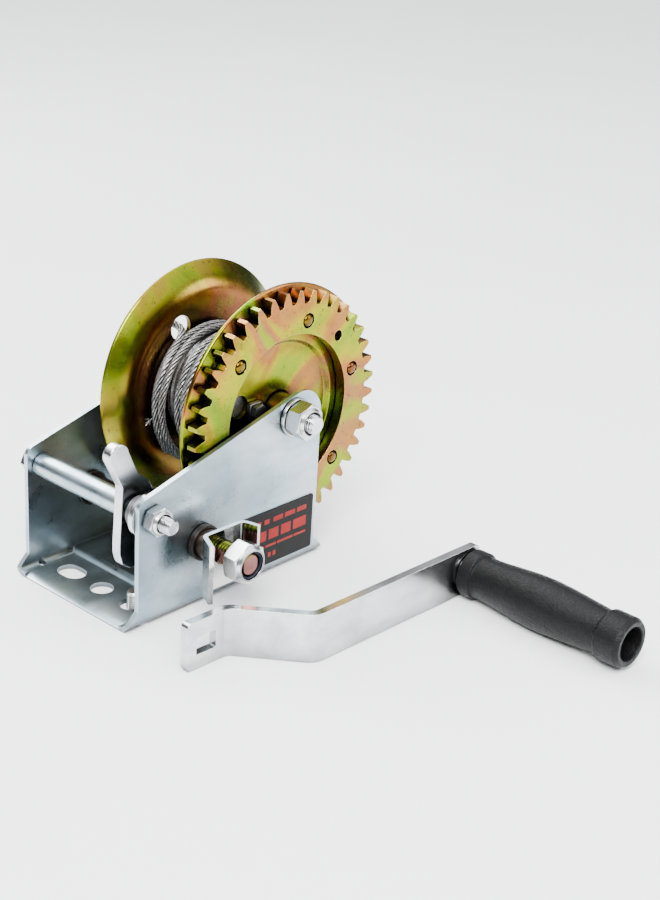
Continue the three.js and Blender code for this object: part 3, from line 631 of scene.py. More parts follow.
def yellow_zinc(name, brown=0.0, zones=None):
    """Yellow passivated zinc: a film that drifts between gold, green, pink and orange, aged towards brown;
    that browning is real ageing on the rivets and painted shade on the hub.

    zones gives two distances from the drum's axis: the film is brown inside the first and gold beyond the
    second, with green between them.
    """
    paint = Paint(name)
    drift = paint.noise(12.0, 2.5, distortion=1.4)
    film = paint.ramp(
        drift, (0.32, (0.09, 0.22, 0.003)), (0.40, (0.20, 0.29, 0.002)), (0.45, (0.34, 0.29, 0.002)),
        (0.49, (0.36, 0.12, 0.030)), (0.545, (0.28, 0.11, 0.050)), (0.59, (0.21, 0.30, 0.003)),
        (0.66, (0.10, 0.25, 0.004)),
    )
    ripple = paint.ramp(
        paint.noise(46.0, 4.0, distortion=1.0), (0.38, (0.20, 0.10, 0.02)), (0.50, (0.36, 0.28, 0.01)),
        (0.62, (0.15, 0.24, 0.01)),
    )
    colour = paint.mixed(0.18, film, ripple)
    if zones:
        outward = paint.vector("SUBTRACT", paint.place, (0.0, 0.0, DRUM.z * MM))
        reach = paint.vector("LENGTH", paint.vector("MULTIPLY", outward, (1.0, 0.0, 1.0)))
        shifted = paint.added(reach, paint.added(drift, 0.016, "MULTIPLY"))
        shade = paint.ramp(
            paint.remap(shifted, zones[0] * MM, zones[1] * MM, 0.0, 1.0), (0.0, (0.17, 0.055, 0.035)),
            (0.35, (0.22, 0.075, 0.025)), (0.62, (0.09, 0.12, 0.006)), (1.0, (0.22, 0.20, 0.008)),
        )
        colour = paint.mixed(0.72, colour, shade)
    # The mix towards brown is real ageing on the rivets and painted shade on the hub.
    colour = paint.mixed(brown, colour, (0.10, 0.034, 0.010))
    stain = paint.noise(30.0, 6.0, distortion=0.8)
    colour = paint.mixed(paint.remap(stain, 0.50, 0.72, 0.0, 0.5), colour, (0.06, 0.02, 0.012))
    specks = paint.noise(520.0, 3.0)
    colour = paint.mixed(paint.remap(specks, 0.62, 0.71, 0.0, 0.75), colour, (0.06, 0.03, 0.015))
    worn = paint.added(paint.edges(0.8), paint.remap(paint.noise(150.0), 0.38, 0.6, 0.2, 1.0), "MULTIPLY")
    colour = paint.mixed(paint.added(worn, 0.75, "MULTIPLY"), colour, (0.72, 0.56, 0.22))
    # Painted shade: the colour darkens towards black in recesses within 26 mm.
    colour = paint.painted_recess_shade(colour, 26.0, 0.92)
    paint.set(
        Base_Color=colour, Metallic=1.0,
        Roughness=paint.remap(paint.noise(38.0, 5.0), 0.3, 0.7, 0.16, 0.34),
        Normal=paint.bump(paint.noise(800.0, 3.0), 0.06, under=paint.bump(drift, 0.05)),
    )
    return paint.material


def rope_steel(name):
    """Galvanised strands: bright wires with random dirt, and painted shade in the grooves between them."""
    paint = Paint(name)
    wires = paint.noise(1500.0, 2.0, stretch=(1.0, 0.6, 1.0))
    colour = paint.ramp(
        wires, (0.35, (0.10, 0.10, 0.10)), (0.5, (0.24, 0.24, 0.24)), (0.7, (0.50, 0.50, 0.49)),
    )
    dirt = paint.noise(120.0, 5.0)
    colour = paint.mixed(paint.remap(dirt, 0.42, 0.72, 0.0, 0.6), colour, (0.12, 0.10, 0.08))
    # Painted shade: the grooves between strands darken towards black.
    colour = paint.painted_recess_shade(colour, 2.5, 0.95)
    paint.set(
        Base_Color=colour, Metallic=0.9, Roughness=paint.remap(dirt, 0.3, 0.7, 0.28, 0.48),
        Normal=paint.bump(wires, 0.35, distance=0.00025),
    )
    return paint.material


def plain(name, tones, rough, metallic, grain_scale, grain, gloss=0.5):
    """Dull steel or plastic: two mottled tones, an even grain and edges rubbed a little lighter."""
    paint = Paint(name)
    mottle = paint.noise(70.0, 5.0)
    colour = paint.ramp(mottle, (0.35, tones[0]), (0.65, tones[1]))
    rubbed = tuple(min(1.0, t * 1.7 + 0.02) for t in tones[1])
    colour = paint.mixed(paint.added(paint.edges(0.5), 0.5, "MULTIPLY"), colour, rubbed)
    paint.set(
        Base_Color=colour, Metallic=metallic, Specular_IOR_Level=gloss,
        Roughness=paint.remap(mottle, 0.3, 0.7, rough[0], rough[1]),
        Normal=paint.bump(paint.noise(grain_scale, 3.0), grain),
    )
    return paint.material


def pebbled(name):
    """Moulded black plastic with a pebbled skin, dusty in its hollows."""
    paint = Paint(name)
    pebbles = paint.cells(1150.0)
    wide = paint.noise(420.0, 3.0)
    mottle = paint.noise(60.0, 5.0)
    colour = paint.ramp(mottle, (0.35, (0.0012, 0.0012, 0.0014)), (0.7, (0.0032, 0.0032, 0.0035)))
    colour = paint.mixed(paint.remap(pebbles, 0.35, 0.75, 0.0, 0.3), colour, (0.008, 0.008, 0.009))
    relief = paint.added(pebbles, wide, "ADD")
    paint.set(
        Base_Color=colour, Metallic=0.0, Specular_IOR_Level=0.16,
        Roughness=paint.remap(wide, 0.3, 0.7, 0.36, 0.52), Normal=paint.bump(relief, 0.55, distance=0.0004),
    )
    return paint.material


ZINC_BLUE = plated(
    "zinc_blue", [(0.30, 0.40, 0.46), (0.42, 0.52, 0.58), (0.52, 0.58, 0.61)], (0.24, 0.38), (0.35, 1.0, 1.0),
)
ZINC_WHITE = plated(
    "zinc_white", [(0.48, 0.50, 0.52), (0.66, 0.68, 0.69), (0.80, 0.81, 0.81)], (0.13, 0.26), (0.3, 1.0, 1.0),
)
ZINC_BRIGHT = plated(
    "zinc_bright", [(0.52, 0.53, 0.54), (0.70, 0.70, 0.69), (0.80, 0.79, 0.76)], (0.07, 0.16),
    (0.3, 1.0, 1.0), 0.02,
)
ZINC_YELLOW = yellow_zinc("zinc_yellow")
# Brown-aged yellow zinc: the rivets' own colour, and on the hub painted shade for the gap between the plate
# and the drum.
ZINC_BROWNED_AND_SHADED = yellow_zinc("zinc_browned_and_shaded", 0.75)
ZINC_PRESSED = yellow_zinc("zinc_pressed", 0.0, (50.0, 74.0))
COPPERED = plain("zinc_coppered", ((0.60, 0.25, 0.22), (0.74, 0.35, 0.31)), (0.2, 0.3), 1.0, 900.0, 0.05)
ROPE_STEEL = rope_steel("rope_steel")
DARK_STEEL = plain("dark_steel", ((0.07, 0.05, 0.04), (0.20, 0.15, 0.12)), (0.35, 0.5), 1.0, 700.0, 0.15)
SPRING_STEEL = plain("spring_steel", ((0.06, 0.06, 0.065), (0.16, 0.16, 0.165)), (0.3, 0.45), 1.0, 900.0, 0.1)
BUSH = plain(
    "bush_polymer", ((0.004, 0.0025, 0.0015), (0.014, 0.008, 0.005)), (0.35, 0.5), 0.0, 800.0, 0.2, 0.3,
)
NYLON = plain(
    "nylon_dark", ((0.002, 0.003, 0.008), (0.004, 0.007, 0.018)), (0.35, 0.5), 0.0, 900.0, 0.1, 0.3,
)
LABEL_BLACK = plain(
    "label_black", ((0.002, 0.002, 0.0022), (0.004, 0.004, 0.0045)), (0.4, 0.5), 0.0, 600.0, 0.04, 0.15,
)
LABEL_RED = plain(
    "label_red", ((0.20, 0.004, 0.004), (0.27, 0.007, 0.006)), (0.4, 0.5), 0.0, 600.0, 0.04, 0.2,
)
GRIP_PLASTIC = pebbled("grip_plastic")

# The usual material of each slot; a piece may be given another.
FINISHES = {
    "zinc_blue": ZINC_BLUE, "zinc_white": ZINC_WHITE, "zinc_yellow": ZINC_YELLOW, "dark_steel": DARK_STEEL,
    "spring_steel": SPRING_STEEL, "bush_polymer": BUSH, "nylon_blue": NYLON, "rope_steel": ROPE_STEEL,
    "grip_plastic": GRIP_PLASTIC,
}


# ---- Placing a piece ------------


def put(name, mesh, place, body, materials, replaced, bevel=0.0, sharp=40.0):
    """Shows a mesh as a piece on a body, in place of CAD nodes, with its edges eased and shaded cleanly."""
    mesh.transform(Matrix.Scale(MM, 4) @ place)
    mesh.name = name
    mesh.shade_smooth()
    mesh.set_sharp_from_angle(angle=math.radians(sharp))
    numbers = [min(face.material_index, len(materials) - 1) for face in mesh.polygons]
    mesh.materials.clear()
    for material in materials:
        mesh.materials.append(material)
    mesh.polygons.foreach_set("material_index", numbers)
    made = bpy.data.objects.new(name, mesh)
    bpy.context.scene.collection.objects.link(made)
    if bevel:
        ease = made.modifiers.new("ease", "BEVEL")
        ease.width = bevel * MM
        ease.segments = 2
        ease.limit_method = "ANGLE"
        ease.angle_limit = math.radians(38)
        ease.use_clamp_overlap = True
    shade = made.modifiers.new("shade", "WEIGHTED_NORMAL")
    shade.keep_sharp = not bevel
    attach(made, body)
    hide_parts(*replaced)
    return made


def on_base(name, mesh, slot, bevel=0.0, body="winch_frame", material=None):
    finish = material or FINISHES[slot]
    return put(name + "_detail", mesh, IN_BASE.copy(), body, [finish], [name], bevel)


def on_drum(name, mesh, slot="zinc_yellow", bevel=0.0, material=None):
    finish = material or FINISHES[slot]
    return put(name + "_detail", mesh, IN_DRUM.copy(), "drum", [finish], [name], bevel)


def on_crank(name, mesh, slot="zinc_white", bevel=0.0, body="crank"):
    return put(name + "_detail", mesh, crank_place(), body, [FINISHES[slot]], [name], bevel)


# ---- Fasteners ------------


def chamfered_hexagon(flats, y0, y1, x, z, turn=0.0, ends=(True, True)):
    """Hexagon whose corners are turned off at one or both ends."""
    corner = flats / math.sqrt(3)
    drop = 0.30 * (corner - flats / 2 + 0.4)
    low = [(0.0, y0), (flats / 2 - 0.2, y0), (corner + 0.4, y0 + drop * 2.2)] if ends[0] else [
        (0.0, y0 - 1), (corner + 2, y0 - 1)]
    high = [(corner + 0.4, y1 - drop * 2.2), (flats / 2 - 0.2, y1), (0.0, y1)] if ends[1] else [
        (corner + 2, y1 + 1), (0.0, y1 + 1)]
    cone = turned(low + high, x, z)
    return combined(prism(hexagon(x, z, flats, turn), y0, y1, "Y"), [cone], "INTERSECT", None)


def bolt(name, axis, size):
    """Bolt across the side plates, with its head on the +Y side and its thread at the other end."""
    x, z = axis.x, axis.z
    thread_end = size.end + 24
    shank = rod_mesh(size.radius, thread_end, OUTER_FACE + CLEAR, x, z)
    thread = threaded(size.radius, size.pitch, size.end, thread_end + 0.5, x, z)
    washer_face = rod_mesh(size.flats / 2 - 0.1, OUTER_FACE, OUTER_FACE + 0.6, x, z, 0.1)
    head = chamfered_hexagon(size.flats, OUTER_FACE + 0.4, OUTER_FACE + size.head, x, z, 0.0, (False, True))
    on_base(name, joined(shank, thread, washer_face, head), "zinc_white")


def lock_nut(name, axis, nut, body="winch_frame"):
    """Nut with a rolled collar that holds a nylon ring."""
    x, z = axis.x, axis.z
    outer = nut.outer
    hexagonal = chamfered_hexagon(nut.flats, outer + 1.6, nut.inner, x, z, nut.turn, (True, True))
    neck = turned([
        (nut.bore, outer + 3.4), (nut.ring + 0.2, outer + 3.0), (nut.ring + 0.2, outer + 0.7),
        (nut.ring, outer + 0.1), (nut.ring + 0.3, outer), (nut.collar - 1.2, outer),
        (nut.collar, outer + 1.2), (nut.collar, outer + 4.5), (nut.bore, outer + 4.5),
    ], x, z, soften=0.35)
    hollow = rod_mesh(nut.bore, outer - CLEAR, nut.inner + CLEAR, x, z)
    mouth = rod_mesh(nut.ring, outer - CLEAR, outer + 3.2, x, z)
    hexagonal = combined(hexagonal, [hollow, mouth], "DIFFERENCE", None)
    on_base(name, joined(hexagonal, neck), "zinc_white", 0.12, body)
    nylon = turned([
        (nut.bore - 0.1, outer + 1.0), (nut.bore + 0.5, outer + 0.5), (nut.ring - 0.4, outer + 0.5),
        (nut.ring - 0.1, outer + 0.9), (nut.ring - 0.1, outer + 2.6), (nut.bore - 0.1, outer + 2.6),
    ], x, z, soften=0.25)
    on_base(name + "_ring", nylon, "nylon_blue", 0.0, body)


# ---- Frame ------------


def side_plate_outline():
    slope = math.radians(BASE.top_slope)
    rear_edge = BASE.apex_x + BASE.apex_r
    below = -CLEAR
    tangent_x = BASE.apex_x - BASE.apex_r * math.sin(slope)
    tangent_z = BASE.apex_z + BASE.apex_r * math.cos(slope)
    corner_x = BASE.front_edge + BASE.front_corner
    corner_z = tangent_z - (tangent_x - corner_x) * math.tan(slope) - BASE.front_corner / math.cos(slope)
    return [
        (0, below), (BASE.length, below), (BASE.length, BASE.foot),
        (rear_edge, BASE.foot + BASE.length - rear_edge),
        *arc(BASE.apex_x, BASE.apex_z, BASE.apex_r, 0, 90 + BASE.top_slope, 36),
        *arc(corner_x, corner_z, BASE.front_corner, 90 + BASE.top_slope, 180, 16),
        (BASE.front_edge, BASE.foot + BASE.front_edge), (0, BASE.foot),
    ]


def channel_section():
    centre = BASE.half_width - BASE.bend
    inner = BASE.bend - BASE.sheet
    return [
        (-BASE.half_width, BASE.blank), *arc(-centre, BASE.bend, BASE.bend, 180, 270, 12),
        *arc(centre, BASE.bend, BASE.bend, 270, 360, 12), (BASE.half_width, BASE.blank),
        (INNER_FACE, BASE.blank), *arc(centre, BASE.bend, inner, 360, 270, 12),
        *arc(-centre, BASE.bend, inner, 270, 180, 12), (-INNER_FACE, BASE.blank),
    ]


def floor_step(bottom, top, inset):
    """Pressed-up middle of the floor, seen from the side."""
    end = BASE.length - FLOOR.step_start
    return [
        (FLOOR.step_start + inset, bottom), (end - inset, bottom),
        (end - FLOOR.step_run - inset, top), (FLOOR.step_start + FLOOR.step_run + inset, top),
    ]


def floor_holes(x):
    half = FLOOR.slot_length / 2 - FLOOR.hole_radius
    slot = [
        *arc(x, FLOOR.slot_y + half, FLOOR.hole_radius, 0, 180, 24),
        *arc(x, FLOOR.slot_y - half, FLOOR.hole_radius, 180, 360, 24),
    ]
    rounds = [circle(x, y, FLOOR.hole_radius) for y in (FLOOR.middle_y, FLOOR.outer_y)]
    return [prism(outline, -CLEAR, BASE.bend, "Z") for outline in (slot, *rounds)]


def build_channel():
    """Folded channel, cut from one sheet, with its floor pressed up between the fixing holes."""
    through = BASE.half_width + CLEAR
    flat = FLOOR.flat_half
    blank = prism(channel_section(), -CLEAR, BASE.length + CLEAR, "X")
    blank = combined(blank, [prism(side_plate_outline(), -through, through, "Y")], "INTERSECT")
    wide = INNER_FACE + BASE.sheet / 4
    pressed = prism(floor_step(BASE.sheet - GAP, BASE.sheet + FLOOR.lift, 0), -wide, wide, "Y")
    blank = combined(blank, [pressed], "UNION")
    pocket = prism([(x, z if z > 0 else -CLEAR) for x, z in floor_step(0, FLOOR.lift, 1)], -flat, flat, "Y")
    front_bevel = prism([
        (-CLEAR, FLOOR.bevel_edge), (0, FLOOR.bevel_edge), (FLOOR.bevel_run, BASE.sheet),
        (FLOOR.bevel_run, BASE.bend), (-CLEAR, BASE.bend),
    ], -flat, flat, "Y")
    reliefs = [
        prism(circle(FLOOR.relief_x, y, FLOOR.relief_r), -CLEAR, BASE.bend, "Z")
        for y in (-FLOOR.relief_y, FLOOR.relief_y)
    ]
    bores = [
        prism(circle(x, z, radius), -through, through, "Y")
        for x, z, radius in (
            (FLOOR.rear_relief_x, FLOOR.rear_relief_z, FLOOR.rear_relief_r),
            (DRUM.x, DRUM.z, AXLE.radius + GAP), (SHAFT.x, SHAFT.z, SHAFT.bush_body + GAP),
            (ROD.x, ROD.z, ROD.bore),
        )
    ]
    holes = floor_holes(FLOOR.hole_row) + floor_holes(BASE.length - FLOOR.hole_row)
    channel = combined(blank, [pocket, front_bevel, *holes, *reliefs, *bores], "DIFFERENCE")
    on_base("frame", channel, "zinc_blue", 0.35)


def build_label():
    """Black sticker with rows of plain red bars."""
    face = -OUTER_FACE - LABEL.thickness
    outline = rounded(rectangle(LABEL.x0, LABEL.z0, LABEL.x1, LABEL.z1), LABEL.corner)
    sheet = plate(outline, [], face, -OUTER_FACE, LABEL.ease)
    bars = [
        plate(rectangle(start, z, end, z + height), [], face - LABEL.ink, face + LABEL.ink, LABEL.ink / 5)
        for z, height, spans in LABEL.rows for start, end in spans
    ]
    put(
        "rating_label_detail", joined(sheet, *[numbered(bar, 1) for bar in bars]), IN_BASE.copy(),
        "winch_frame", [LABEL_BLACK, LABEL_RED], ["rating_label"],
    )


def build_bush(name, outside, inside, rim):
    """Flanged bush in a side plate, from the far side of its flange to its other end."""
    bore = SHAFT.radius + GAP
    on_base(name, turned([
        (bore, outside), (SHAFT.bush_flange, outside), (SHAFT.bush_flange, rim), (SHAFT.bush_body, rim),
        (SHAFT.bush_body, inside), (bore, inside),
    ], SHAFT.x, SHAFT.z, soften=0.35), "bush_polymer")


def build_frame():
    build_channel()
    inner = INNER_FACE - GAP
    axle = AXLE.radius + GAP
    for name, axis, hole, radius, right, left, soften, slot in (
        ("front_spacer_tube", ROD, ROD.bore, ROD.radius, ROD.right, inner, 0.3, "zinc_blue"),
        ("pawl_side_washer", ROD, ROD.bore, ROD.washer, -inner, ROD.washer_back, 0.4, "zinc_white"),
        ("drum_axle_sleeve", DRUM, axle, AXLE.sleeve, -inner, inner, 0.3, "dark_steel"),
        ("drum_axle_washer", DRUM, axle, AXLE.washer, AXLE.washer_face, -OUTER_FACE, 0.5, "zinc_white"),
    ):
        on_base(name, ring(hole, radius, right, left, axis.x, axis.z, soften), slot)
    bolt("front_spacer_bolt", ROD, ROD_BOLT)
    bolt("drum_axle_bolt", DRUM, AXLE)
    lock_nut("front_spacer_nut", ROD, ROD_NUT)
    lock_nut("drum_axle_nut", DRUM, AXLE_NUT)
    build_bush("shaft_bush_right", SHAFT.bush_right, -inner, -OUTER_FACE)
    build_bush("shaft_bush_left", SHAFT.bush_left, OUTER_FACE, inner)
    stud = threaded(STUD.radius, STUD.pitch, -STUD.top, -GAP)
    stud.transform(Matrix.Translation((STUD.x, STUD.y, 0.0)) @ Matrix.Rotation(math.radians(-90), 4, "X"))
    on_base("mounting_stud", stud, "zinc_white")
    build_label()


# ---- Pawl and shaft ------------


def build_pawl():
    """Two-nosed pawl, outlined from its finger down its back and up its front edge, and its spring."""
    outline = [
        *arc(5.6, 87, 6, 195, 8, 16), (13.7, 83.3), (17.4, 75.6), (24.2, 69.9), (26.5, 65), (33, 61.5),
        *arc(36.2, 56.4, 2.4, 55, -95, 10), (29.5, 52.5), (23, 47.2), (19.8, 41), (18.2, 34.6),
        *arc(21.4, 30, 2.2, 80, -100, 10), (13, 26.6), (7.4, 30.4), (5.7, 36), (5.7, 41.6), (6.6, 57.1),
        (7.3, 70.8),
    ]
    hole = circle(ROD.x, ROD.z, PAWL.bore)
    pawl = plate(rounded(outline, 2.5), [hole], PAWL.front, PAWL.back, 0.7)
    on_base("pawl", pawl, "zinc_white", 0.0, "pawl")
    turns = np.linspace(0.0, SPRING.turns, SPRING.steps)
    angles = 2 * np.pi * turns
    coil = np.column_stack([
        ROD.x + SPRING.radius * np.sin(angles),
        np.interp(turns, (0.0, SPRING.turns), (SPRING.right, SPRING.left)),
        ROD.z + SPRING.radius * np.cos(angles),
    ])
    on_base("pawl_spring", wire_mesh(coil, SPRING.wire), "spring_steel")


def pinion_phase():
    """Tooth phase of the pinion that puts one of its gaps on the ring gear's tooth nearest the mesh point."""
    towards = math.degrees(math.atan2(SHAFT.x - DRUM.x, SHAFT.z - DRUM.z))
    teeth_away = (towards - DRUM.tooth_phase) / (360 / DRUM.teeth)
    ahead = math.floor(teeth_away + 0.5) - teeth_away
    pitch = 360 / SHAFT.teeth
    return towards + 180 - ahead * pitch + pitch / 2


def ratchet_outline():
    points = []
    for tooth in range(RATCHET.teeth):
        centre = RATCHET.gap_angle + (tooth + 0.5) * 360 / RATCHET.teeth
        for radius, turn in (
            (RATCHET.root, -RATCHET.root_half), (RATCHET.tip, -RATCHET.tip_half),
            (RATCHET.tip, RATCHET.tip_half), (RATCHET.root, RATCHET.root_half),
        ):
            points.append(clock(radius, centre + turn, SHAFT.x, SHAFT.z))
    return points


def build_bracket():
    """Folded sheet on the shaft, with two legs splayed by different angles."""
    half = BRACKET.sheet / 2
    left_lean = (BRACKET.web - BRACKET.left_end) * math.tan(math.radians(BRACKET.left_splay))
    right_lean = (BRACKET.web - BRACKET.right_end) * math.tan(math.radians(BRACKET.right_splay))
    path = [
        (BRACKET.left + half - left_lean, BRACKET.left_end), (BRACKET.left + half, BRACKET.web),
        (BRACKET.right - half, BRACKET.web), (BRACKET.right - half + right_lean, BRACKET.right_end),
    ]
    folded = prism(strip(path, BRACKET.bend, BRACKET.sheet), BRACKET.bottom, BRACKET.top, "Z")
    eye = prism(circle(SHAFT.x, SHAFT.z, SHAFT.thread + GAP), BRACKET.left_end, SHAFT.shoulder, "Y")
    bracket = combined(folded, [eye], "DIFFERENCE")
    on_base("crank_bracket", bracket, "zinc_white", 0.4, "crank_shaft_set", ZINC_BRIGHT)


def build_shaft():
    """Crank shaft with its yellow thread and coppery flats, and all that turns with it."""
    x, z = SHAFT.x, SHAFT.z
    body = "crank_shaft_set"
    bore = SHAFT.radius + GAP
    hole = circle(x, z, bore)
    journal = rod_mesh(SHAFT.radius, SHAFT.shoulder, SHAFT.left, x, z, 0.8)
    tail = threaded(SHAFT.thread, SHAFT.pitch, SHAFT.end, SHAFT.shoulder + CLEAR, x, z, SHAFT.flats, 96)
    for face in tail.polygons:
        on_flat = abs(face.center.x - x) > SHAFT.flats / 2 - 0.05
        face.material_index = 2 if on_flat or face.normal.y < -0.9 else 1
    put(
        "crank_shaft_detail", joined(journal, tail), IN_BASE.copy(), body,
        [DARK_STEEL, ZINC_YELLOW, COPPERED], ["crank_shaft"],
    )
    teeth = gear_outline(SHAFT.teeth, pinion_phase(), x, z)
    wheel = plate(ratchet_outline(), [hole], RATCHET.front, RATCHET.back, 0.3)
    collar = ring(bore, SHAFT.collar, SHAFT.collar_front, RATCHET.front - GAP, x, z)
    keeper = ring(bore, SHAFT.ring, SHAFT.ring_from, SHAFT.ring_to, x, z)
    pinion = plate(teeth, [hole], GAP - INNER_FACE, SHAFT.pinion_back, 0.2)
    on_base("drive_pinion", pinion, "dark_steel", 0.0, body)
    on_base("pinion_collar", collar, "dark_steel", 0.0, body)
    on_base("ratchet_wheel", wheel, "dark_steel", 0.0, body)
    on_base("shaft_retaining_ring", keeper, "spring_steel", 0.0, body)
    build_bracket()
    lock_nut("crank_nut", SHAFT, CRANK_NUT, body)


# ---- Drum ------------


def rivet_places():
    return [clock(DRUM.rivet_circle, DRUM.rivet_phase + 360 / DRUM.rivets * i) for i in range(DRUM.rivets)]


def drum_cutter(place, radius):
    return prism(circle(*place, radius), DRUM.cut_front, DRUM.cut_back, "Y")


def build_right_flange():
    """Stepped sheet that carries the gear."""
    bore = DRUM.hub + GAP
    sheet = BASE.sheet
    web, dish = DRUM.web_front, DRUM.dish_front
    profile = [
        (bore, dish), (DRUM.dish - 2, dish), (DRUM.dish, web), (DRUM.rim_start, web),
        (DRUM.rim, DRUM.rim_front), (DRUM.rim, DRUM.rim_back),
        (DRUM.rim_start, web + sheet), (DRUM.dish + 1, web + sheet),
        (DRUM.dish - 1, dish + sheet), (bore, dish + sheet),
    ]
    cuts = [drum_cutter(place, DRUM.rivet_hole) for place in rivet_places()]
    cuts.append(drum_cutter((CLAMP.opening_x, CLAMP.opening_z), CLAMP.opening_r))
    cuts.append(drum_cutter(clock(DRUM.rivet_circle, DRUM.pin_hole_angle), DRUM.pin_hole_r))
    cuts.append(drum_cutter((CLAMP.x, CLAMP.z), CLAMP.screw + GAP))
    right = combined(turned(profile, steps=160, soften=1.0), cuts, "DIFFERENCE", None)
    on_drum("right_flange", right, bevel=0.2)


def build_left_flange():
    """Flat web that flares outwards to a rim, with an eye for the rope."""
    bore = DRUM.hub + GAP
    fold = BASE.sheet * math.tan(math.radians(22.5))
    face, flat, rim, lip = DRUM.left_face, DRUM.left_flat, DRUM.left_rim, DRUM.left_lip
    back = face + BASE.sheet
    profile = [
        (bore, face), (flat, face), (rim, lip - 1.2), (rim + 0.2, lip), (rim - 1.6, lip + 0.8),
        (flat - fold, back), (bore, back),
    ]
    eye = prism(circle(*clock(ANCHOR.radius, ANCHOR.angle), ANCHOR.r), face - 5, face + 5, "Y")
    left = combined(turned(rounded(profile, 20, 9), steps=160), [eye], "DIFFERENCE", None)
    on_drum("left_flange", left, bevel=0.25, material=ZINC_PRESSED)


def build_gear():
    holes = [circle(*place, DRUM.rivet_hole, 32) for place in rivet_places()]
    holes.append(circle(*clock(DRUM.rivet_circle, DRUM.pin_hole_angle), DRUM.pin_hole_r, 32))
    holes.append(circle(0, 0, DRUM.gear_bore, 128))
    outline = gear_outline(DRUM.teeth, DRUM.tooth_phase)
    on_drum("ring_gear", plate(outline, holes, DRUM.gear_front, DRUM.gear_back, 0.3))
    for i, place in enumerate(rivet_places()):
        on_drum(f"gear_rivet_{i + 1}", turned(RIVET_PROFILE, *place, 32), material=ZINC_BROWNED_AND_SHADED)


def wander(angle, seed):
    """A slow, repeatable drift between about -1 and 1."""
    return (
        math.sin(angle * 0.83 + seed * 1.7) * 0.5 + math.sin(angle * 1.37 + seed * 2.9) * 0.3
        + math.sin(angle * 2.11 + seed * 0.6) * 0.2
    )


def wound(lie):
    """Path of rope laid round the drum from one side to the other."""
    turns = abs(lie.end - lie.start) / lie.pitch
    points = []
    for i in range(int(turns * ROPE.steps) + 1):
        share = i / (turns * ROPE.steps)
        angle = math.radians(lie.angle) + 2 * math.pi * turns * share
        reach = lie.radius + lie.loose * wander(angle, lie.seed)
        y = lie.start + (lie.end - lie.start) * share + lie.loose * wander(angle, lie.seed + 5)
        points.append((lie.centre[0] + reach * math.sin(angle), y, lie.centre[1] + reach * math.cos(angle)))
    return points


def frayed_end():
    """The cut end of the loose turn, its wires splayed apart."""
    wires = []
    for i in range(FRAY.wires):
        turn = 2 * math.pi * i / FRAY.wires
        tip = (
            FRAY.x - FRAY.length * (0.7 + 0.3 * math.sin(3 * turn)),
            FRAY.y + 0.8 * FRAY.spread * math.sin(turn),
            FRAY.z + FRAY.spread * math.cos(turn) - FRAY.spread / 2,
        )
        path = [(FRAY.x + FRAY.stem, FRAY.y, FRAY.z), (FRAY.x - 0.1 * FRAY.stem, FRAY.y, FRAY.z), tip]
        wires.append(wire_mesh(smooth_path(path, 0.6), FRAY.radius, 6))
    return wires


def turns_below():
    """The turns under the visible ones, as one solid with a groove between neighbours."""
    bore = DRUM.core + GAP
    right, left = ROPE.right - ROPE.radius, ROPE.end + ROPE.radius
    bottom = ROPE.under - 0.9
    grooves = [(bore, right)]
    y = right
    while y < left:
        grooves += [(bottom, y), (ROPE.under, y + 1.0), (ROPE.under, y + 3.2)]
        y += ROPE.pitch
    grooves += [(bottom, left + 0.1), (bore, left + 0.1)]
    return turned(grooves, steps=96)


def build_rope():
    """Wire rope: the visible turns on those below, and its inner end out through the left flange's eye."""
    shown = [rope_mesh(wound(lie)) for lie in TURNS]
    on_drum("wire_rope_winding", joined(turns_below(), *shown, *frayed_end()), "rope_steel")
    points = []
    for radius, angle in TAIL.round_drum:
        x, z = clock(radius, angle)
        points.append((x, TAIL.y, z))
    for further, past, y in TAIL.through_eye:
        x, z = clock(ANCHOR.radius + further, ANCHOR.angle + past)
        points.append((x, y, z))
    on_drum("wire_rope_tail", rope_mesh(smooth_path(points, 1.0)), "rope_steel")


def build_clamp():
    """Block and screw that hold the rope's inner end against the dished web."""
    x, z = CLAMP.x, CLAMP.z
    face = DRUM.dish_front - GAP
    back = face - CLAMP.thickness
    half = CLAMP.size / 2
    outline = rounded(rectangle(x - half, z - half, x + half, z + half), 2.0)
    block = plate(outline, [circle(x, z, CLAMP.screw + GAP)], back, face, 0.5)
    on_drum("cable_clamp", block, "spring_steel")
    nut = back - GAP
    thread = threaded(CLAMP.screw, CLAMP.pitch, nut - CLEAR, face + BASE.sheet, x, z, steps=32)
    screw = joined(thread, chamfered_hexagon(CLAMP.nut_flats, nut - CLAMP.nut, nut, x, z, 15))
    on_drum("cable_clamp_screw", screw, "spring_steel")


def build_drum():
    hub = ring(AXLE.sleeve + GAP, DRUM.hub, -DRUM.hub_half, DRUM.hub_half)
    # The hub's darker brown finish is partly its own colour and partly painted shade.
    on_drum("drum_hub", hub, material=ZINC_BROWNED_AND_SHADED)
    core = ring(DRUM.core - BASE.sheet, DRUM.core, DRUM.dish_front + BASE.sheet + GAP, DRUM.left_face - GAP)
    on_drum("drum_core", core)
    build_right_flange()
    build_left_flange()
    build_gear()
    build_rope()
    build_clamp()


# ---- Crank ------------


